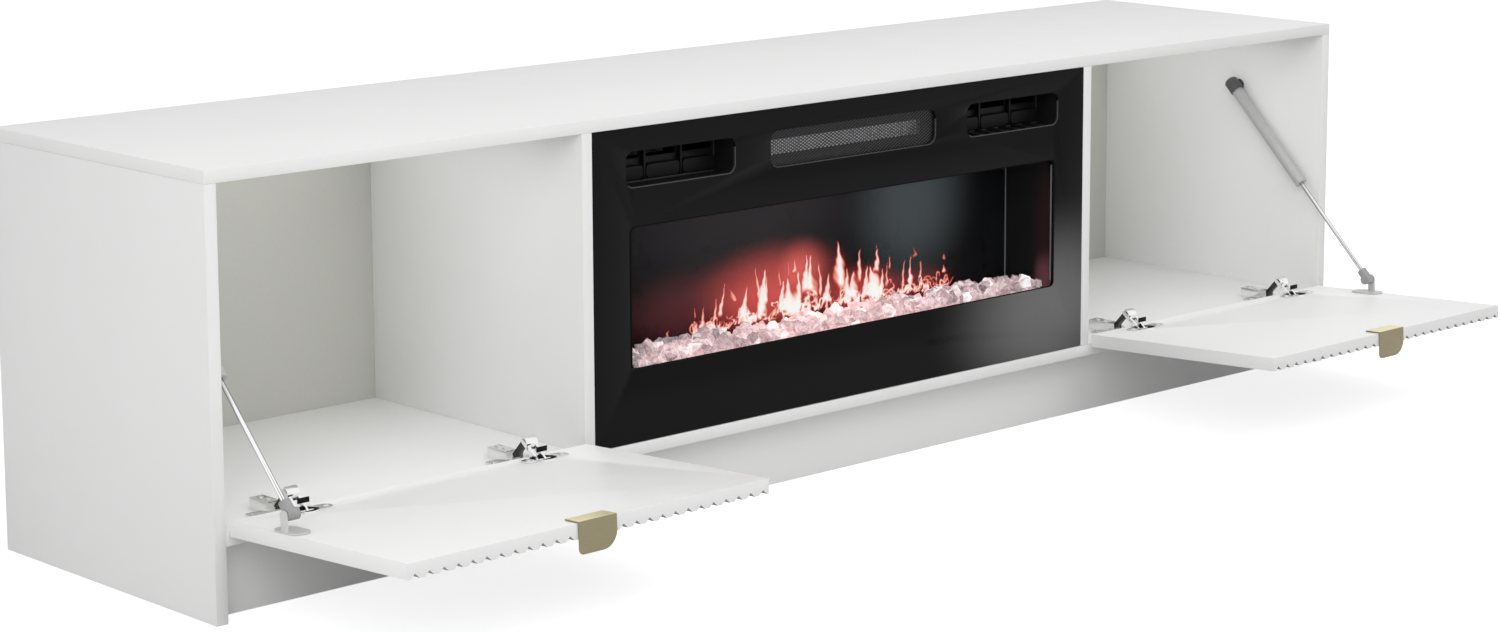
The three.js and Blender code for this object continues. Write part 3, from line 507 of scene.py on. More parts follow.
def make_crystal():
    """Clear stones with painted light from below: each has its own tone, each facet its own painted shade,
    and painted glints lie along the edges of small cells.
    """
    material, shader = new_material("crystal_glass", (0.5, 0.45, 0.45), roughness=0.1)
    shape = add_node(material, "NewGeometry")
    tone = ramp_of(material, shape.outputs["Random Per Island"], CRYSTAL_TONES)
    veins = ramp_of(material, noise_of(material, 140, detail=3), CRYSTAL_VEINS)
    shaded = add_node(material, "VectorMath", {0: tone, 1: veins}, operation="MULTIPLY")
    facing = add_node(material, "VectorMath", {0: shape.outputs["True Normal"]}, {1: CRYSTAL_LIGHT},
                      operation="DOT_PRODUCT")
    light = span_of(material, facing.outputs["Value"], -0.9, 1.0, low=0.12)
    lit = add_node(material, "VectorMath", {0: shaded.outputs["Vector"], "Scale": light}, operation="SCALE")
    # Painted glints along the edges of small cells.
    glint_cells = add_node(material, "TexVoronoi", {"Vector": object_point(material)}, {"Scale": 170},
                      feature="DISTANCE_TO_EDGE")
    glints = ramp_of(material, glint_cells.outputs["Distance"], CRYSTAL_GLINTS)
    lights = [lit.outputs["Vector"], glints, *glows_of(material, CRYSTAL_GLOWS)]
    feed(shader, "Emission Color", summed(material, lights))
    feed(shader, "Base Color", tone)
    shader.inputs["Emission Strength"].default_value = CRYSTAL_BRIGHTNESS
    return material


# Red light on the firebox walls: middle, reach and colour
WALL_GLOWS = (
    ((0.390, -0.205, 0.210), (0.010, 0.030, 0.050), (0.100, 0.030, 0.038)),
    ((0.390, -0.205, 0.290), (0.010, 0.030, 0.110), (0.011, 0.002, 0.003)),
)


def make_firebox_sheet():
    color = (0.006, 0.006, 0.006)
    material, shader = new_material("firebox_sheet", color, roughness=0.4, gloss=0.1)
    mottle(material, shader, color, spread=0.1, scale=40)
    feed(shader, "Emission Color", summed(material, glows_of(material, WALL_GLOWS)))
    shader.inputs["Emission Strength"].default_value = 1
    return material


def make_steel(name, color, metallic=0.6):
    material, shader = new_material(name, color, roughness=0.4, metallic=metallic)
    mottle(material, shader, color, spread=0.1, scale=200)
    vary_roughness(material, shader, low=0.3, high=0.5, scale=400)
    return material


def make_lamp():
    color = (0.9, 0.85, 0.8)
    material, shader = new_material("lamp_strip", color, roughness=0.5)
    mottle(material, shader, color, spread=0.04, scale=100)
    shader.inputs["Emission Color"].default_value = (1, 0.5, 0.42, 1)
    shader.inputs["Emission Strength"].default_value = 1
    return material


WHITE = make_white_board()
GROOVED_WHITE = make_grooved_board()
HARDBOARD = make_hardboard()
BRASS = make_brass()
CHROME = make_chrome()
ROD_STEEL = make_rod_steel()
GREY_PAINT = make_grey_paint("light_grey_paint", (0.50, 0.50, 0.50))
PALE_PAINT = make_grey_paint("pale_grey_paint", (0.60, 0.60, 0.60))
GREY_PLASTIC = make_plastic("grey_plastic", (0.33, 0.33, 0.33), 0.42)
DARK_PLASTIC = make_plastic("dark_grey_plastic", (0.085, 0.085, 0.09), 0.45)
BLACK_PLASTIC = make_plastic("black_plastic", (0.008, 0.008, 0.0085), 0.4, 0.12)
# Lighter than the black plastic: painted highlight on the rims of the fascia's openings and the vents' folds.
RIM_HIGHLIGHT = make_plastic("rim_painted_highlight", (0.04, 0.04, 0.041), 0.3, 0.35)
RUBBER = make_plastic("black_rubber", (0.003, 0.003, 0.003), 0.6, 0.03)
BLACK_GLASS = make_black_glass()
BLACK_SHEET = make_black_sheet()
WINDOW = make_clear_glass()
SCREEN = make_screen()
FIREBOX_SHEET = make_firebox_sheet()
CRYSTAL = make_crystal()
STEEL_MESH = make_steel("dark_steel_mesh", (0.048, 0.048, 0.050))
SHADED_MESH = make_steel("shaded_steel_mesh", (0.011, 0.011, 0.011))
# The inner links' steel, dark as painted shade in the gap between the links.
INNER_LINK_SHADE = make_steel("link_steel_painted_shade", (0.045, 0.045, 0.046))
ALUMINIUM = make_steel("mill_aluminium", (0.62, 0.62, 0.63), 1.0)
HEATER_SHEET = make_steel("heater_sheet", (0.76, 0.76, 0.77), 1.0)
PALE_EDGE_GREY = make_plastic("pale_edge_grey", (0.34, 0.34, 0.345), 0.35)
# A dark disc in each hinge cup: painted shade in its hollow.
CUP_PAINTED_SHADE = make_plastic("cup_painted_shade", (0.03, 0.03, 0.03), 0.4)
LAMP = make_lamp()


# Pieces of the carcass and the doors
def dress_carcass():
    for node in ("top_panel", "side_panel_left", "side_panel_right", "divider_left", "divider_right",
                 "bottom_panel", "plinth_front", "plinth_rear", "centre_support"):
        eased_node(node, "cabinet", WHITE, BOARD_EASE)
    for node in ("back_panel_left", "back_panel_right", "back_panel_centre"):
        eased_node(node, "cabinet", HARDBOARD)


def dress_doors():
    for side in SIDES:
        eased_node(f"door_{side}", f"door_{side}_body", GROOVED_WHITE, DOOR_EASE)
        eased_node(f"handle_{side}", f"door_{side}_body", BRASS, DOOR_EASE)


# Hinge details, measured on the shut door. A screw's head in mm: radius and height, from its sunk middle
SCREW_HEAD = ((0, 0.3), (0.8, 0.5), (1.1, 1.7), (2.6, 1.3), (3.8, 0.4), (3.9, 0), (0, 0))
SCREW_PROFILE = [(radius * MM, height * MM) for radius, height in SCREW_HEAD]
CUP_SCREW_SPREAD = 26 * MM
CUP_SCREW_SETBACK = 26 * MM
ARM_SCREW_SETBACKS = (47 * MM, 61 * MM)
DOOR_THICKNESS = 18 * MM
DOOR_GAP = 2 * MM
DOOR_SHUT_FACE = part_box("bottom_panel")[0].y + DOOR_THICKNESS
DOOR_SHUT_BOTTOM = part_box("bottom_panel")[1].z + DOOR_GAP
FLANGE_TOP = 1.3 * MM
BAND_SLOT = (23.2 * MM, 29.6 * MM)
BAND_SLOT_HALF_WIDTH = 8.2 * MM
BAND_SLOT_PROUD = 0.15 * MM
BAND_SLOT_DEPTH = 0.8 * MM
CUP_CENTRE_SETBACK = 22.5 * MM
# The disc of painted shade in the cup's hollow: its radius, bore, top, floor and foot.
SHADE_DISC_RADIUS = 16.4 * MM
SHADE_DISC_BORE = 16.15 * MM
SHADE_DISC_TOP = 0.4 * MM
SHADE_DISC_FLOOR = -9.6 * MM
SHADE_DISC_FOOT = -9.9 * MM
SHADE_DISC_PROFILE = (
    (0, SHADE_DISC_FOOT), (SHADE_DISC_RADIUS, SHADE_DISC_FOOT), (SHADE_DISC_RADIUS, SHADE_DISC_TOP),
    (SHADE_DISC_BORE, SHADE_DISC_TOP), (SHADE_DISC_BORE, SHADE_DISC_FLOOR), (0, SHADE_DISC_FLOOR),
)
JOINTS = {joint["name"]: joint for joint in frame["joints"]}


def open_place(side):
    """Moves what is drawn on the shut door to where it is on the open one."""
    joint = JOINTS[f"door_{side}_swing"]
    pivot = Matrix.Translation(joint["pos_m"])
    return pivot @ Matrix.Rotation(math.radians(joint["range_deg"][1]), 4, "X") @ pivot.inverted()


def add_screw(build, place):
    add_lathe(build, SCREW_PROFILE, place, SCREW_SIDES)


def facing_back(x, y, z):
    """A place on the shut door's inner face, with Z towards the back."""
    return Matrix.Translation((x, y, z)) @ Matrix.Rotation(-math.pi / 2, 4, "X")


def dress_cup(name, side, x):
    """The cup with its two screws, and a dark disc of painted shade in its hollow."""
    door = open_place(side)
    build = node_build(f"hinge_cup_{name}")
    for end in ENDS:
        spot = facing_back(x + end * CUP_SCREW_SPREAD, DOOR_SHUT_FACE + FLANGE_TOP,
                           DOOR_SHUT_BOTTOM + CUP_SCREW_SETBACK)
        add_screw(build, door @ spot)
    make_piece(f"cup_{name}", build, f"door_{side}_body", CHROME, (f"hinge_cup_{name}",))
    # Painted shade: a dark disc in the cup's hollow.
    build = bmesh.new()
    centre = facing_back(x, DOOR_SHUT_FACE, DOOR_SHUT_BOTTOM + CUP_CENTRE_SETBACK)
    add_lathe(build, SHADE_DISC_PROFILE, door @ centre)
    make_piece(f"cup_painted_shade_{name}", build, f"door_{side}_body", CUP_PAINTED_SHADE, (), 0)


def dress_plate(name, x):
    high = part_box(f"hinge_plate_{name}")[1]
    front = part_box("bottom_panel")[0].y
    build = node_build(f"hinge_plate_{name}")
    for setback in ARM_SCREW_SETBACKS:
        add_screw(build, Matrix.Translation((x, front + setback, high.z)))
    make_piece(f"plate_{name}", build, "cabinet", CHROME, (f"hinge_plate_{name}",))


def dress_outer_link(name, side, x):
    """The link as it is, with a black box of painted shade where the slot in the front of its band is."""
    node = f"hinge_outer_link_{name}"
    make_piece(f"link_{name}", node_build(node), f"outer_links_{side}", CHROME, (node,))
    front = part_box(node)[0].y
    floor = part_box("bottom_panel")[1].z
    # Painted shade: a black box stands in for the shaded inside of the slot.
    build = bmesh.new()
    add_box(build,
            (x - BAND_SLOT_HALF_WIDTH, front - BAND_SLOT_PROUD, floor + BAND_SLOT[0]),
            (x + BAND_SLOT_HALF_WIDTH, front + BAND_SLOT_DEPTH, floor + BAND_SLOT[1]))
    make_piece(f"link_slot_shade_{name}", build, f"outer_links_{side}", BLACK_PLASTIC)


def dress_hinges():
    for side in SIDES:
        for place in PLACES:
            name = f"{side}_{place}"
            low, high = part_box(f"hinge_plate_{name}")
            x = (low.x + high.x) / 2
            dress_cup(name, side, x)
            dress_plate(name, x)
            dress_outer_link(name, side, x)
            # The inner links are dark as painted shade in the gap between the links.
            eased_node(f"hinge_inner_link_{name}", f"inner_links_{side}", INNER_LINK_SHADE)


def dress_struts():
    for side in SIDES:
        eased_node(f"strut_cylinder_{side}", f"strut_cylinder_{side}_body", GREY_PAINT)
        eased_node(f"strut_cap_{side}", f"strut_cylinder_{side}_body", DARK_PLASTIC)
        eased_node(f"strut_rod_{side}", f"strut_rod_{side}_body", ROD_STEEL)
        eased_node(f"strut_socket_{side}", f"strut_rod_{side}_body", GREY_PLASTIC)
        eased_node(f"strut_stud_{side}", "cabinet", DARK_PLASTIC)
        eased_node(f"strut_bracket_{side}", f"door_{side}_body", PALE_PAINT)


# Vent details
VENT_WIDTH = 182 * MM
VENT_HEIGHT = 46 * MM
VENT_CORNER = 12 * MM
VENT_LIP = 1.4 * MM
LIP_PROUD = 0.3 * MM
LIP_DEPTH = 2.5 * MM
VENT_FOLD = 1.8 * MM
VENT_WALL = 2 * MM
VENT_PAD_DEPTH = 7 * MM
VENT_PAD_HEIGHT = 17 * MM
VENT_PAD_CORNER = 5 * MM
VENT_COLUMNS = 3
VENT_BAR = 3 * MM
VENT_RIB_COUNT = 6
VENT_RIB_WIDTH = 12 * MM
VENT_RIB_LENGTH = 30 * MM
VENT_RIB_HEIGHT = 2.2 * MM
VENT_RIB_PITCH = 24 * MM


def dress_vent(side):
    """The recess with its pads and bars, and a lighter lip with folds along the floor and up the right end, a
    painted highlight. The right one also has ribs on its floor.
    """
    low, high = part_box(f"vent_{side}")
    x, z = (low.x + high.x) / 2, (low.z + high.z) / 2
    left, right = x - VENT_WIDTH / 2, x + VENT_WIDTH / 2
    bottom, top = z - VENT_HEIGHT / 2, z + VENT_HEIGHT / 2
    back = high.y - VENT_WALL
    pad_front = back - VENT_PAD_DEPTH
    build = node_build(f"vent_{side}")
    pitch = VENT_WIDTH / VENT_COLUMNS
    for i in range(VENT_COLUMNS):
        column_x = x + (i - (VENT_COLUMNS - 1) / 2) * pitch
        pad = rounded(column_x, z - VENT_HEIGHT / 4, pitch - 2 * VENT_BAR, VENT_PAD_HEIGHT, VENT_PAD_CORNER)
        add_prism(build, pad, pad_front, back)
        if i:
            bar_x = column_x - pitch / 2
            add_box(build, (bar_x - VENT_BAR / 2, pad_front, bottom), (bar_x + VENT_BAR / 2, back, top))
    if side == "right":
        for i in range(VENT_RIB_COUNT):
            rib_x = x + (i - (VENT_RIB_COUNT - 1) / 2) * VENT_RIB_PITCH
            add_box(build,
                    (rib_x - VENT_RIB_WIDTH / 2, low.y, bottom),
                    (rib_x + VENT_RIB_WIDTH / 2, low.y + VENT_RIB_LENGTH, bottom + VENT_RIB_HEIGHT))
    make_piece(f"vent_recess_{side}", build, "cabinet", BLACK_PLASTIC, (f"vent_{side}",))
    # Painted highlight: the lighter lip, with folds along the recess's floor and up its right end.
    build = bmesh.new()
    add_lip(build, x, z, VENT_WIDTH, VENT_HEIGHT, VENT_CORNER, VENT_LIP)
    add_box(build, (left, pad_front - VENT_FOLD, bottom), (right, pad_front, bottom + VENT_FOLD))
    add_box(build, (right - VENT_FOLD, back - VENT_FOLD, bottom + VENT_FOLD), (right, back, top))
    make_piece(f"vent_lip_highlight_{side}", build, "cabinet", RIM_HIGHLIGHT)


# The heating element: a pale ribbed band on a black back
HEATER_BACK = 1 * MM
HEATER_PLATE = 2 * MM
HEATER_RIB = 1.2 * MM
HEATER_RIB_PITCH = 6.5 * MM
HEATER_BAND = (8 * MM, 27 * MM)
HEATER_END_GAP = 11.5 * MM


def dress_heater():
    """A thin back, and on it the band with its upright ribs."""
    low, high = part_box("heater_element")
    build = bmesh.new()
    add_box(build, (low.x, high.y - HEATER_BACK, low.z), high)
    make_piece("heater_back", build, "cabinet", BLACK_PLASTIC, ("heater_element",), 0)
    bottom, top = low.z + HEATER_BAND[0], low.z + HEATER_BAND[1]
    rear = high.y - HEATER_BACK
    right = high.x - HEATER_END_GAP
    build = bmesh.new()
    add_box(build, (low.x, rear - HEATER_PLATE, bottom), (right, rear, top))
    count = int((right - low.x) / HEATER_RIB_PITCH)
    for i in range(count):
        x = low.x + (i + 0.5) * HEATER_RIB_PITCH
        add_box(build, (x - HEATER_RIB / 2, rear - HEATER_PLATE - HEATER_RIB, bottom),
                (x + HEATER_RIB / 2, rear - HEATER_PLATE, top))
    make_piece("heater_band", build, "cabinet", HEATER_SHEET, (), 0)


def dress_fireplace():
    eased_node("fascia_panel", "cabinet", BLACK_GLASS)
    eased_node("window_glass", "cabinet", WINDOW)
    for side in SIDES:
        dress_vent(side)
    eased_node("fireplace_housing", "cabinet", BLACK_SHEET)
    eased_node("firebox_chassis", "cabinet", FIREBOX_SHEET)
    dress_heater()
    eased_node("led_bar", "cabinet", LAMP)
    for node in ("spindle_motor", "blower_motor", "cable_gland"):
        eased_node(node, "cabinet", DARK_PLASTIC)
    eased_node("blower_rotor", "blower", DARK_PLASTIC)
    eased_node("flame_spindle", "spindle", ALUMINIUM)


# Window trim
WINDOW_CORNER = 8 * MM
GASKET_SIDE = 3 * MM
GASKET_RAIL = 0.9 * MM
GASKET_PROUD = 0.3 * MM
GASKET_DEPTH = 2 * MM
EDGE_WIDTH = 2.6 * MM
EDGE_INSET = 1.3 * MM
EDGE_DEPTH = 2 * MM
CORNER_STRIP = 1.3 * MM


def dress_window():
    """The black gasket, a light edge inside it at both ends, and light strips in the firebox's back corners,
    a painted highlight on the corner edges.
    """
    low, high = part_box("window_glass")
    x, z = (low.x + high.x) / 2, (low.z + high.z) / 2
    width, height = high.x - low.x, high.z - low.z
    build = bmesh.new()
    outer = rounded(x, z, width, height, WINDOW_CORNER)
    inner = rounded(x, z, width - 2 * GASKET_SIDE, height - 2 * GASKET_RAIL, WINDOW_CORNER - GASKET_RAIL)
    add_ring(build, outer, inner, low.y - GASKET_PROUD, low.y + GASKET_DEPTH)
    make_piece("window_gasket", build, "cabinet", RUBBER)
    build = bmesh.new()
    for end in ENDS:
        edge_x = x + end * (width / 2 - EDGE_INSET)
        add_box(build,
                (edge_x - EDGE_WIDTH / 2, high.y, low.z + WINDOW_CORNER),
                (edge_x + EDGE_WIDTH / 2, high.y + EDGE_DEPTH, high.z - WINDOW_CORNER))
    make_piece("window_edges", build, "cabinet", PALE_EDGE_GREY)
    # Painted highlight: light strips on the firebox's back corner edges.
    low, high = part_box("flame_screen")
    build = bmesh.new()
    for left in (low.x, high.x - CORNER_STRIP):
        add_box(build,
                (left, low.y - CORNER_STRIP, low.z + CORNER_STRIP),
                (left + CORNER_STRIP, low.y, high.z))
    make_piece("corner_highlight_strips", build, "cabinet", PALE_EDGE_GREY)


# The outlet's mesh: two crossed layers of thin slanting strips
MESH_PITCH = 7.2 * MM
MESH_SLOPE = 0.58
MESH_STRIP = 1.5 * MM
MESH_LAYER = 0.5 * MM
OUTLET_MARGIN = 4.7 * MM
OUTLET_CORNER = 14 * MM
OUTLET_LIP = 1.2 * MM


def add_slanting_strips(build, middle, half_x, half_z, slope, front):
    """One layer of the mesh: parallel strips across an opening, cut off at its ends."""
    reach = half_z / abs(slope)
    count = int((half_x + reach) / MESH_PITCH)
    for i in range(-count, count + 1):
        offset = i * MESH_PITCH
        start = max(-half_x, offset - reach)
        end = min(half_x, offset + reach)
        if end - start < MESH_PITCH:
            continue
        outline = [(middle.x + x, middle.z + slope * (x - offset) + step * MESH_STRIP / 2)
                   for x, step in ((start, -1), (end, -1), (end, 1), (start, 1))]
        add_prism(build, outline, front, front + MESH_LAYER)


def dress_outlet():
    low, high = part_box("outlet_grille")
    middle = (low + high) / 2
    half_x = (high.x - low.x) / 2 - OUTLET_MARGIN
    half_z = (high.z - low.z) / 2 - OUTLET_MARGIN
    build = bmesh.new()
    add_slanting_strips(build, middle, half_x, half_z, MESH_SLOPE, low.y)
    make_piece("outlet_mesh", build, "cabinet", STEEL_MESH, ("outlet_grille",), 0)
    build = bmesh.new()
    add_slanting_strips(build, middle, half_x, half_z, -MESH_SLOPE, low.y + MESH_LAYER)
    make_piece("outlet_mesh_rear", build, "cabinet", SHADED_MESH, (), 0)
    build = bmesh.new()
    outer = rounded(middle.x, middle.z, high.x - low.x, high.z - low.z, OUTLET_CORNER)
    inner = rounded(middle.x, middle.z, 2 * half_x, 2 * half_z, OUTLET_CORNER)
    add_ring(build, outer, inner, low.y, high.y)
    make_piece("outlet_frame", build, "cabinet", BLACK_PLASTIC, (), 0)
    # Painted highlight: a lighter lip along the bottom and up the right end of the opening.
    build = bmesh.new()
    add_lip(build, middle.x, middle.z, 2 * half_x, 2 * half_z, OUTLET_CORNER, OUTLET_LIP)
    make_piece("outlet_lip_highlight", build, "cabinet", RIM_HIGHLIGHT)


# Crystals. Their sizes and the heights of their middles are in shares of the radius
CRYSTAL_SEED = 4
CRYSTAL_COUNT = 430
CRYSTAL_POINTS = 11
CRYSTAL_RADIUS = 9 * MM
CRYSTAL_BASE = CRYSTAL_RADIUS / 2
CRYSTAL_SIZES = (0.75, 1.25)
CRYSTAL_HEIGHTS = (0.6, 1.8)


def dress_crystals():
    """Broken stones of many sizes on a flat base."""
    dice = random.Random(CRYSTAL_SEED)
    low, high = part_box("crystal_bed")
    build = bmesh.new()
    add_box(build, (low.x, low.y + CRYSTAL_RADIUS, low.z), (high.x, high.y, low.z + CRYSTAL_BASE))
    for i in range(CRYSTAL_COUNT):
        radius = CRYSTAL_RADIUS * dice.uniform(*CRYSTAL_SIZES)
        centre = Vector((
            dice.uniform(low.x + radius, high.x - radius),
            dice.uniform(low.y + radius, high.y - radius),
            max(low.z + radius, low.z + dice.uniform(*CRYSTAL_HEIGHTS) * CRYSTAL_RADIUS)))
        points = []
        for j in range(CRYSTAL_POINTS):
            spot = Vector([dice.gauss(0, 1) for axis in range(3)]).normalized()
            points.append(build.verts.new(centre + radius * spot))
        hull = bmesh.ops.convex_hull(build, input=points)
        spare = [item for item in hull["geom_interior"] if isinstance(item, bmesh.types.BMVert)]
        bmesh.ops.delete(build, geom=spare, context="VERTS")
    piece = make_piece("crystals", build, "cabinet", CRYSTAL, ("crystal_bed",), 0)
    for polygon in piece.data.polygons:
        polygon.use_smooth = False


# Flame tongues in mm: tip x, tip z, foot x, foot z, width, warmth
FLAME_TONGUES = (
    (-246, 213, -246, 203, 4.0, 0.50), (-198, 237, -197, 222, 5.0, 0.50), (-178, 240, -186, 206, 9.0, 0.75),
    (-160, 248, -165, 212, 9.0, 0.78), (-145, 265, -153, 214, 9.0, 0.88), (-134, 254, -127, 238, 7.5, 0.66),
    (-102, 257, -115, 208, 17.0, 0.95), (-88, 278, -86, 236, 7.0, 0.78), (-75, 279, -81, 203, 26.0, 1.0),
    (-70, 266, -71, 222, 12.0, 0.85), (-48, 274, -46, 246, 6.0, 0.60), (-40, 256, -46, 214, 17.0, 0.97),
    (-32, 285, -30, 258, 5.0, 0.66), (-18, 281, -17, 256, 7.0, 0.76), (-33, 260, -25, 202, 30.0, 1.0),
    (-13, 262, -15, 202, 21.0, 1.0), (0, 286, 0, 228, 17.0, 0.98), (9, 287, 12, 224, 22.0, 1.0),
    (25, 271, 27, 220, 9.5, 0.80), (44, 257, 39, 208, 17.0, 0.92), (62, 297, 67, 224, 22.0, 1.0),
    (76, 258, 82, 208, 15.0, 0.90), (104, 281, 98, 228, 9.0, 0.86), (93, 250, 88, 208, 17.0, 0.92),
    (116, 256, 112, 206, 16.0, 0.92), (136, 280, 134, 238, 7.0, 0.90), (124, 256, 131, 202, 31.0, 1.0),
    (145, 246, 142, 206, 17.0, 0.94), (154, 254, 156, 218, 6.0, 0.70), (160, 268, 161, 242, 5.0, 0.68),
    (187, 253, 187, 214, 7.0, 0.74), (203, 259, 199, 208, 9.0, 0.86), (210, 269, 209, 253, 4.0, 0.42),
    (218, 249, 219, 220, 6.5, 0.74), (266, 237, 268, 222, 7.0, 0.82), (265, 251, 266, 238, 6.0, 0.55),
)
FLAME_SEED = 11
PHASES = (0, 6)
TONGUE_BEND = (-5 * MM, 5 * MM)
TONGUE_BELLY = 0.45
TONGUE_SWELL = 0.2
TONGUE_POINT = 0.6
FOOT_FADE = 0.18
TIP_FADE = 0.10
TIP_COOLING = 0.2
THINNEST_FLAME = 0.1 * MM
CORE_SHARE = 0.8
CORE_FILL = 1.25
CORE_FALL = 1.5
GLOW_REACH = 2.6
# Short curls and rolls at the foot of the fire, higher and brighter near its middle
CURL_COUNT = 270
ROLL_COUNT = 110
CURL_SPAN = (-205 * MM, 276 * MM)
CURL_MIDDLE = 40 * MM
CURL_FOOT = 200 * MM
CURL_WARMTH = (0.5, 1.0)
MIDDLE_WARMTH = 0.2
CURL_LIFT = 5 * MM
CURL_MIDDLE_LIFT = 8 * MM
CURL_LEAST_RISE = 4 * MM
CURL_RISE = 16 * MM
CURL_LEAN = (-9 * MM, 9 * MM)
CURL_WIDTH = (3 * MM, 8 * MM)
CURL_BEND = (-12 * MM, 12 * MM)
ROLL_FOOT = 6 * MM
ROLL_LIFT = 10 * MM
ROLL_MIDDLE_LIFT = 16 * MM
ROLL_RADIUS = (2.5 * MM, 5.5 * MM)
ROLL_WIDTH = (1.8 * MM, 3.2 * MM)
ROLL_CLOSED = 0.8
WAVE_LENGTHS = (36 * MM, 19 * MM, 10 * MM)
WAVE_SHARE = 0.06
HEAT_CELL = 1.25 * MM
HEAT_LOW = (-262 * MM, 192 * MM)
HEAT_HIGH = (298 * MM, 302 * MM)


def falling_off(across):
    """One at the middle of a flame, a quick fall at its side, and a faint glow a little beyond."""
    core = np.clip(CORE_FILL - across ** CORE_FALL, 0, 1)
    glow = np.clip(1 - across / GLOW_REACH, 0, 1)
    return CORE_SHARE * core + (1 - CORE_SHARE) * glow


def tongue_heat(x, z, tip, foot, width, warmth, bend, phase):
    """How hot one tongue makes each place: full at its middle, none at its edge, and pointed at its top."""
    share = (z - foot[1]) / (tip[1] - foot[1])
    inside = np.clip(share, 0, 1)
    sway = bend * np.sin(phase + FULL_TURN * inside) * inside * (1 - inside)
    middle = foot[0] + (tip[0] - foot[0]) * inside + sway
    belly = 1 - TONGUE_BELLY + TONGUE_BELLY * np.sin(math.pi * np.clip(TONGUE_SWELL + inside, 0, 1))
    half = width / 2 * belly * (1 - inside) ** TONGUE_POINT
    across = np.abs(x - middle) / np.maximum(half, THINNEST_FLAME)
    ends = np.clip(share / FOOT_FADE, 0, 1) * np.clip((1 - share) / TIP_FADE, 0, 1)
    return warmth * falling_off(across) * ends * (1 - TIP_COOLING * inside)


def curl_heat(x, z, foot_x, near, warmth, dice):
    """A short crooked tongue. Near is one at the fire's middle and less away from it."""
    foot_z = CURL_FOOT + dice.uniform(0, 1) * (CURL_LIFT + CURL_MIDDLE_LIFT * near)
    rise = (CURL_LEAST_RISE + dice.uniform(0, 1) * CURL_RISE) * (1 + near) / 2
    tip = (foot_x + dice.uniform(*CURL_LEAN), foot_z + rise)
    width = dice.uniform(*CURL_WIDTH)
    bend = dice.uniform(*CURL_BEND)
    return tongue_heat(x, z, tip, (foot_x, foot_z), width, warmth, bend, dice.uniform(*PHASES))


def roll_heat(x, z, centre_x, near, warmth, dice):
    """A thin ring that is open on one side, as where a flame rolls over."""
    centre_z = CURL_FOOT + ROLL_FOOT + dice.uniform(0, 1) * (ROLL_LIFT + ROLL_MIDDLE_LIFT * near)
    radius = dice.uniform(*ROLL_RADIUS)
    width = dice.uniform(*ROLL_WIDTH)
    opening = dice.uniform(0, FULL_TURN)
    run_x, run_z = x - centre_x, z - centre_z
    across = np.abs(np.hypot(run_x, run_z) - radius) / (width / 2)
    shut = np.clip(ROLL_CLOSED * (1 + np.cos(np.arctan2(run_z, run_x) - opening)), 0, 1)
    return warmth * falling_off(across) * shut


def wavered(x, z, dice):
    """Places pushed about by slow waves, which makes the flames' sides ragged."""
    pushes = [np.zeros_like(x), np.zeros_like(z)]
    for length in WAVE_LENGTHS:
        for push in pushes:
            turn, phase = dice.uniform(0, FULL_TURN), dice.uniform(0, FULL_TURN)
            way = x * math.cos(turn) + z * math.sin(turn)
            push += length * WAVE_SHARE * np.sin(way * FULL_TURN / length + phase)
    return x + pushes[0], z + pushes[1]


def heat_field(xs, zs):
    """Heat on a grid: the tall tongues first, then the curls and rolls that crowd the foot of the fire."""
    dice = random.Random(FLAME_SEED)
    x, z = wavered(*np.meshgrid(xs, zs), dice)
    cold = np.ones_like(x)
    for tip_x, tip_z, foot_x, foot_z, width, warmth in FLAME_TONGUES:
        tip = (tip_x * MM, tip_z * MM)
        foot = (foot_x * MM, foot_z * MM)
        bend = dice.uniform(*TONGUE_BEND)
        cold *= 1 - tongue_heat(x, z, tip, foot, width * MM, warmth, bend, dice.uniform(*PHASES))
    for i in range(CURL_COUNT + ROLL_COUNT):
        foot_x = dice.uniform(*CURL_SPAN)
        near = max(1 - abs(foot_x - CURL_MIDDLE) / (CURL_MIDDLE - CURL_SPAN[0]), 0)
        warmth = dice.uniform(*CURL_WARMTH) * (1 - MIDDLE_WARMTH + MIDDLE_WARMTH * near)
        heat = curl_heat if i < CURL_COUNT else roll_heat
        cold *= 1 - heat(x, z, foot_x, near, warmth, dice)
    return 1 - cold


def dress_screen():
    """The screen as one piece. Its front is a fine grid where the flames are drawn."""
    low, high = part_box("flame_screen")
    fine_x = np.arange(HEAT_LOW[0], HEAT_HIGH[0], HEAT_CELL)
    fine_z = np.arange(HEAT_LOW[1], HEAT_HIGH[1], HEAT_CELL)
    xs = np.concatenate(([low.x], fine_x, [high.x]))
    zs = np.concatenate(([low.z], fine_z, [high.z]))
    field = heat_field(xs, zs)
    build = bmesh.new()
    warmth = build.verts.layers.float.new("warmth")
    rows = []
    for z, values in zip(zs, field):
        row = []
        for x, value in zip(xs, values):
            vertex = build.verts.new((x, low.y, z))
            vertex[warmth] = value
            row.append(vertex)
        rows.append(row)
    for lower, upper in zip(rows, rows[1:]):
        for i in range(len(xs) - 1):
            build.faces.new((lower[i], lower[i + 1], upper[i + 1], upper[i]))
    border = [edge for edge in build.edges if edge.is_boundary]
    pushed = bmesh.ops.extrude_edge_only(build, edges=border)["geom"]
    rear = [item for item in pushed if isinstance(item, bmesh.types.BMVert)]
    for vertex in rear:
        vertex.co.y = high.y
    bmesh.ops.edgenet_fill(build, edges=[edge for edge in build.edges if edge.is_boundary])
    make_piece("flame_picture", build, "cabinet", SCREEN, ("flame_screen",), 0)


# The studio: a pale floor, soft light from all round and a camera at the photo's place
FLOOR_REACH = 12.0
FLOOR_COLOR = (0.62, 0.62, 0.62)
FLOOR_GLOW = 0.75
AMBIENT = 0.45
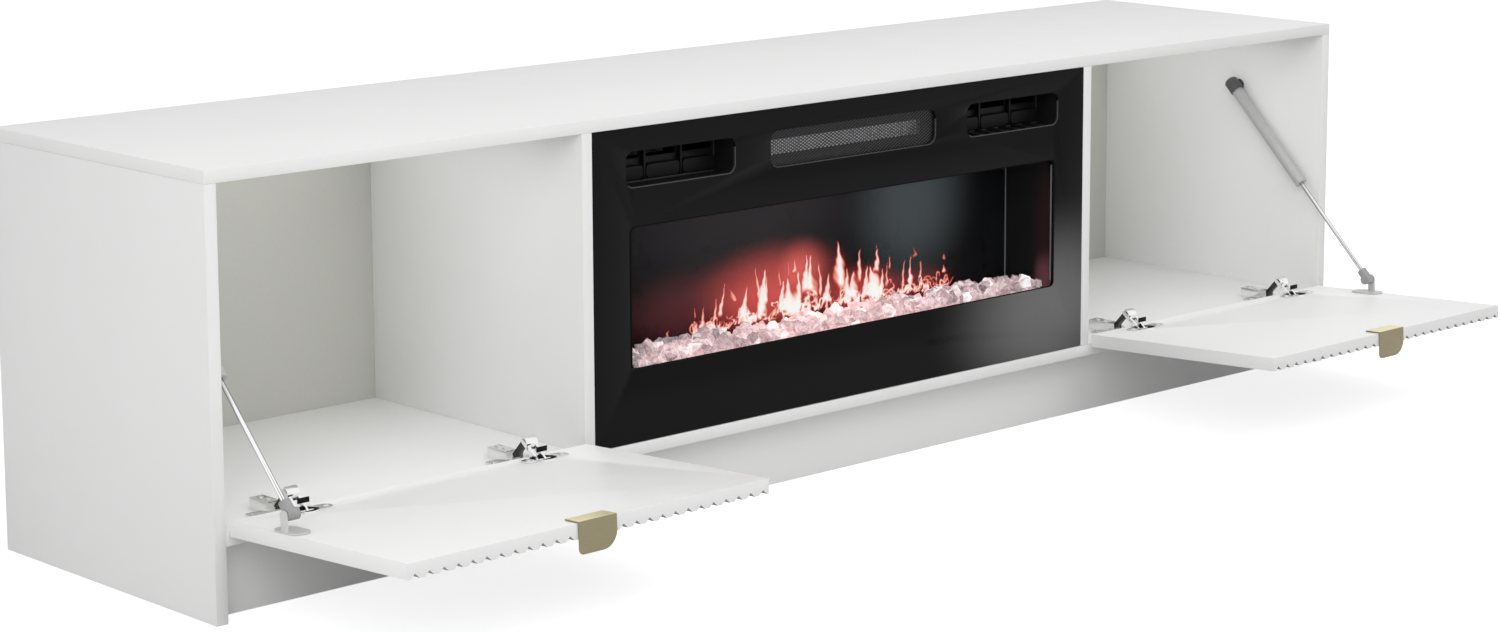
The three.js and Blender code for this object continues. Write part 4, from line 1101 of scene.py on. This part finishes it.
# Lamps: name, place, target, size and power
LAMPS = (
    ("overhead", (0.7, -1.5, 3.2), (0.2, -0.3, 0.3), (4.0, 3.0), 46),
    ("left_front", (-3.2, -3.4, 2.6), (0, 0, 0.2), (3.6, 2.8), 84),
    ("left_side", (-3.4, 0.5, 1.0), (-1.0, 0.1, 0.3), (2.0, 1.6), 9),
)
# The lamps under the top board, one in each open compartment
INSIDE_SIZE = (0.46, 0.34)
INSIDE_POWER = 0.37
INSIDE_DROP = 5 * MM
COMPARTMENT_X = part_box("door_right")[0].x / 2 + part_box("door_right")[1].x / 2
COMPARTMENT_Y = 0.02
COMPARTMENT_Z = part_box("top_panel")[0].z - INSIDE_DROP
CAMERA_PLACE = (-3.05936, -3.36926, 1.1195)
CAMERA_YAW = math.radians(44.97)
CAMERA_PITCH = math.radians(9.14)
CAMERA_ROLL = math.radians(0.18)
CAMERA_LENS = 81.40
CAMERA_SENSOR = 36
CAMERA_SHIFT = (-0.0995, -0.100)


def seen_directly(owner):
    """One for rays from the camera, off a mirror or through glass, and zero for all others."""
    ray = add_node(owner, "LightPath").outputs
    first = add_node(owner, "Math", {0: ray["Is Camera Ray"], 1: ray["Is Glossy Ray"]}, operation="ADD")
    every = add_node(owner, "Math", {0: first.outputs["Value"], 1: ray["Is Transmission Ray"]},
                     operation="ADD", use_clamp=True)
    return every.outputs["Value"]


def make_floor():
    mesh = bpy.data.meshes.new("floor")
    corners = [(x * FLOOR_REACH, y * FLOOR_REACH, 0) for x, y in ((-1, -1), (1, -1), (1, 1), (-1, 1))]
    mesh.from_pydata(corners, [], [(0, 1, 2, 3)])
    floor = bpy.data.objects.new("floor", mesh)
    bpy.context.scene.collection.objects.link(floor)
    material, shader = new_material("pale_floor", FLOOR_COLOR, roughness=0.8)
    strength = add_node(material, "Math", {0: seen_directly(material)}, {1: FLOOR_GLOW}, operation="MULTIPLY")
    shader.inputs["Emission Color"].default_value = (1, 1, 1, 1)
    feed(shader, "Emission Strength", strength.outputs["Value"])
    mesh.materials.append(material)


def make_world():
    """White all round where it is seen directly, and dimmer as light on the part."""
    world = bpy.data.worlds.new("studio")
    world.use_nodes = True
    bpy.context.scene.world = world
    background = world.node_tree.nodes["Background"]
    background.inputs["Color"].default_value = (1, 1, 1, 1)
    feed(background, "Strength", span_of(world, seen_directly(world), 0, 1, low=AMBIENT))


def add_area(name, place, target, size, power):
    data = bpy.data.lights.new(name, "AREA")
    data.shape = "RECTANGLE"
    data.size, data.size_y = size
    data.energy = power
    lamp = bpy.data.objects.new(name, data)
    lamp.location = place
    lamp.rotation_euler = (Vector(target) - Vector(place)).to_track_quat("-Z", "Y").to_euler()
    lamp.visible_camera = False
    lamp.visible_glossy = False
    bpy.context.scene.collection.objects.link(lamp)


def make_lights():
    for name, place, target, size, power in LAMPS:
        add_area(name, place, target, size, power)
    for name, x in (("inside_left", -COMPARTMENT_X), ("inside_right", COMPARTMENT_X)):
        place = (x, COMPARTMENT_Y, COMPARTMENT_Z)
        add_area(name, place, (x, COMPARTMENT_Y, 0), INSIDE_SIZE, INSIDE_POWER)


def make_camera():
    level = math.cos(CAMERA_PITCH)
    forward = Vector((math.sin(CAMERA_YAW) * level, math.cos(CAMERA_YAW) * level, -math.sin(CAMERA_PITCH)))
    right = Vector((math.cos(CAMERA_YAW), -math.sin(CAMERA_YAW), 0))
    up = right.cross(forward)
    turned_right = math.cos(CAMERA_ROLL) * right + math.sin(CAMERA_ROLL) * up
    turned_up = math.cos(CAMERA_ROLL) * up - math.sin(CAMERA_ROLL) * right
    turn = Matrix((turned_right, turned_up, -forward)).transposed().to_4x4()
    data = bpy.data.cameras.new("camera")
    data.lens = CAMERA_LENS
    data.sensor_width = CAMERA_SENSOR
    data.shift_x, data.shift_y = CAMERA_SHIFT
    camera = bpy.data.objects.new("camera", data)
    camera.matrix_world = Matrix.Translation(CAMERA_PLACE) @ turn
    bpy.context.scene.collection.objects.link(camera)
    bpy.context.scene.camera = camera


dress_carcass()
dress_doors()
dress_hinges()
dress_struts()
dress_fireplace()
dress_outlet()
dress_crystals()
dress_screen()
dress_window()
make_floor()
make_world()
make_lights()
make_camera()
bpy.context.scene.view_settings.view_transform = "Standard"
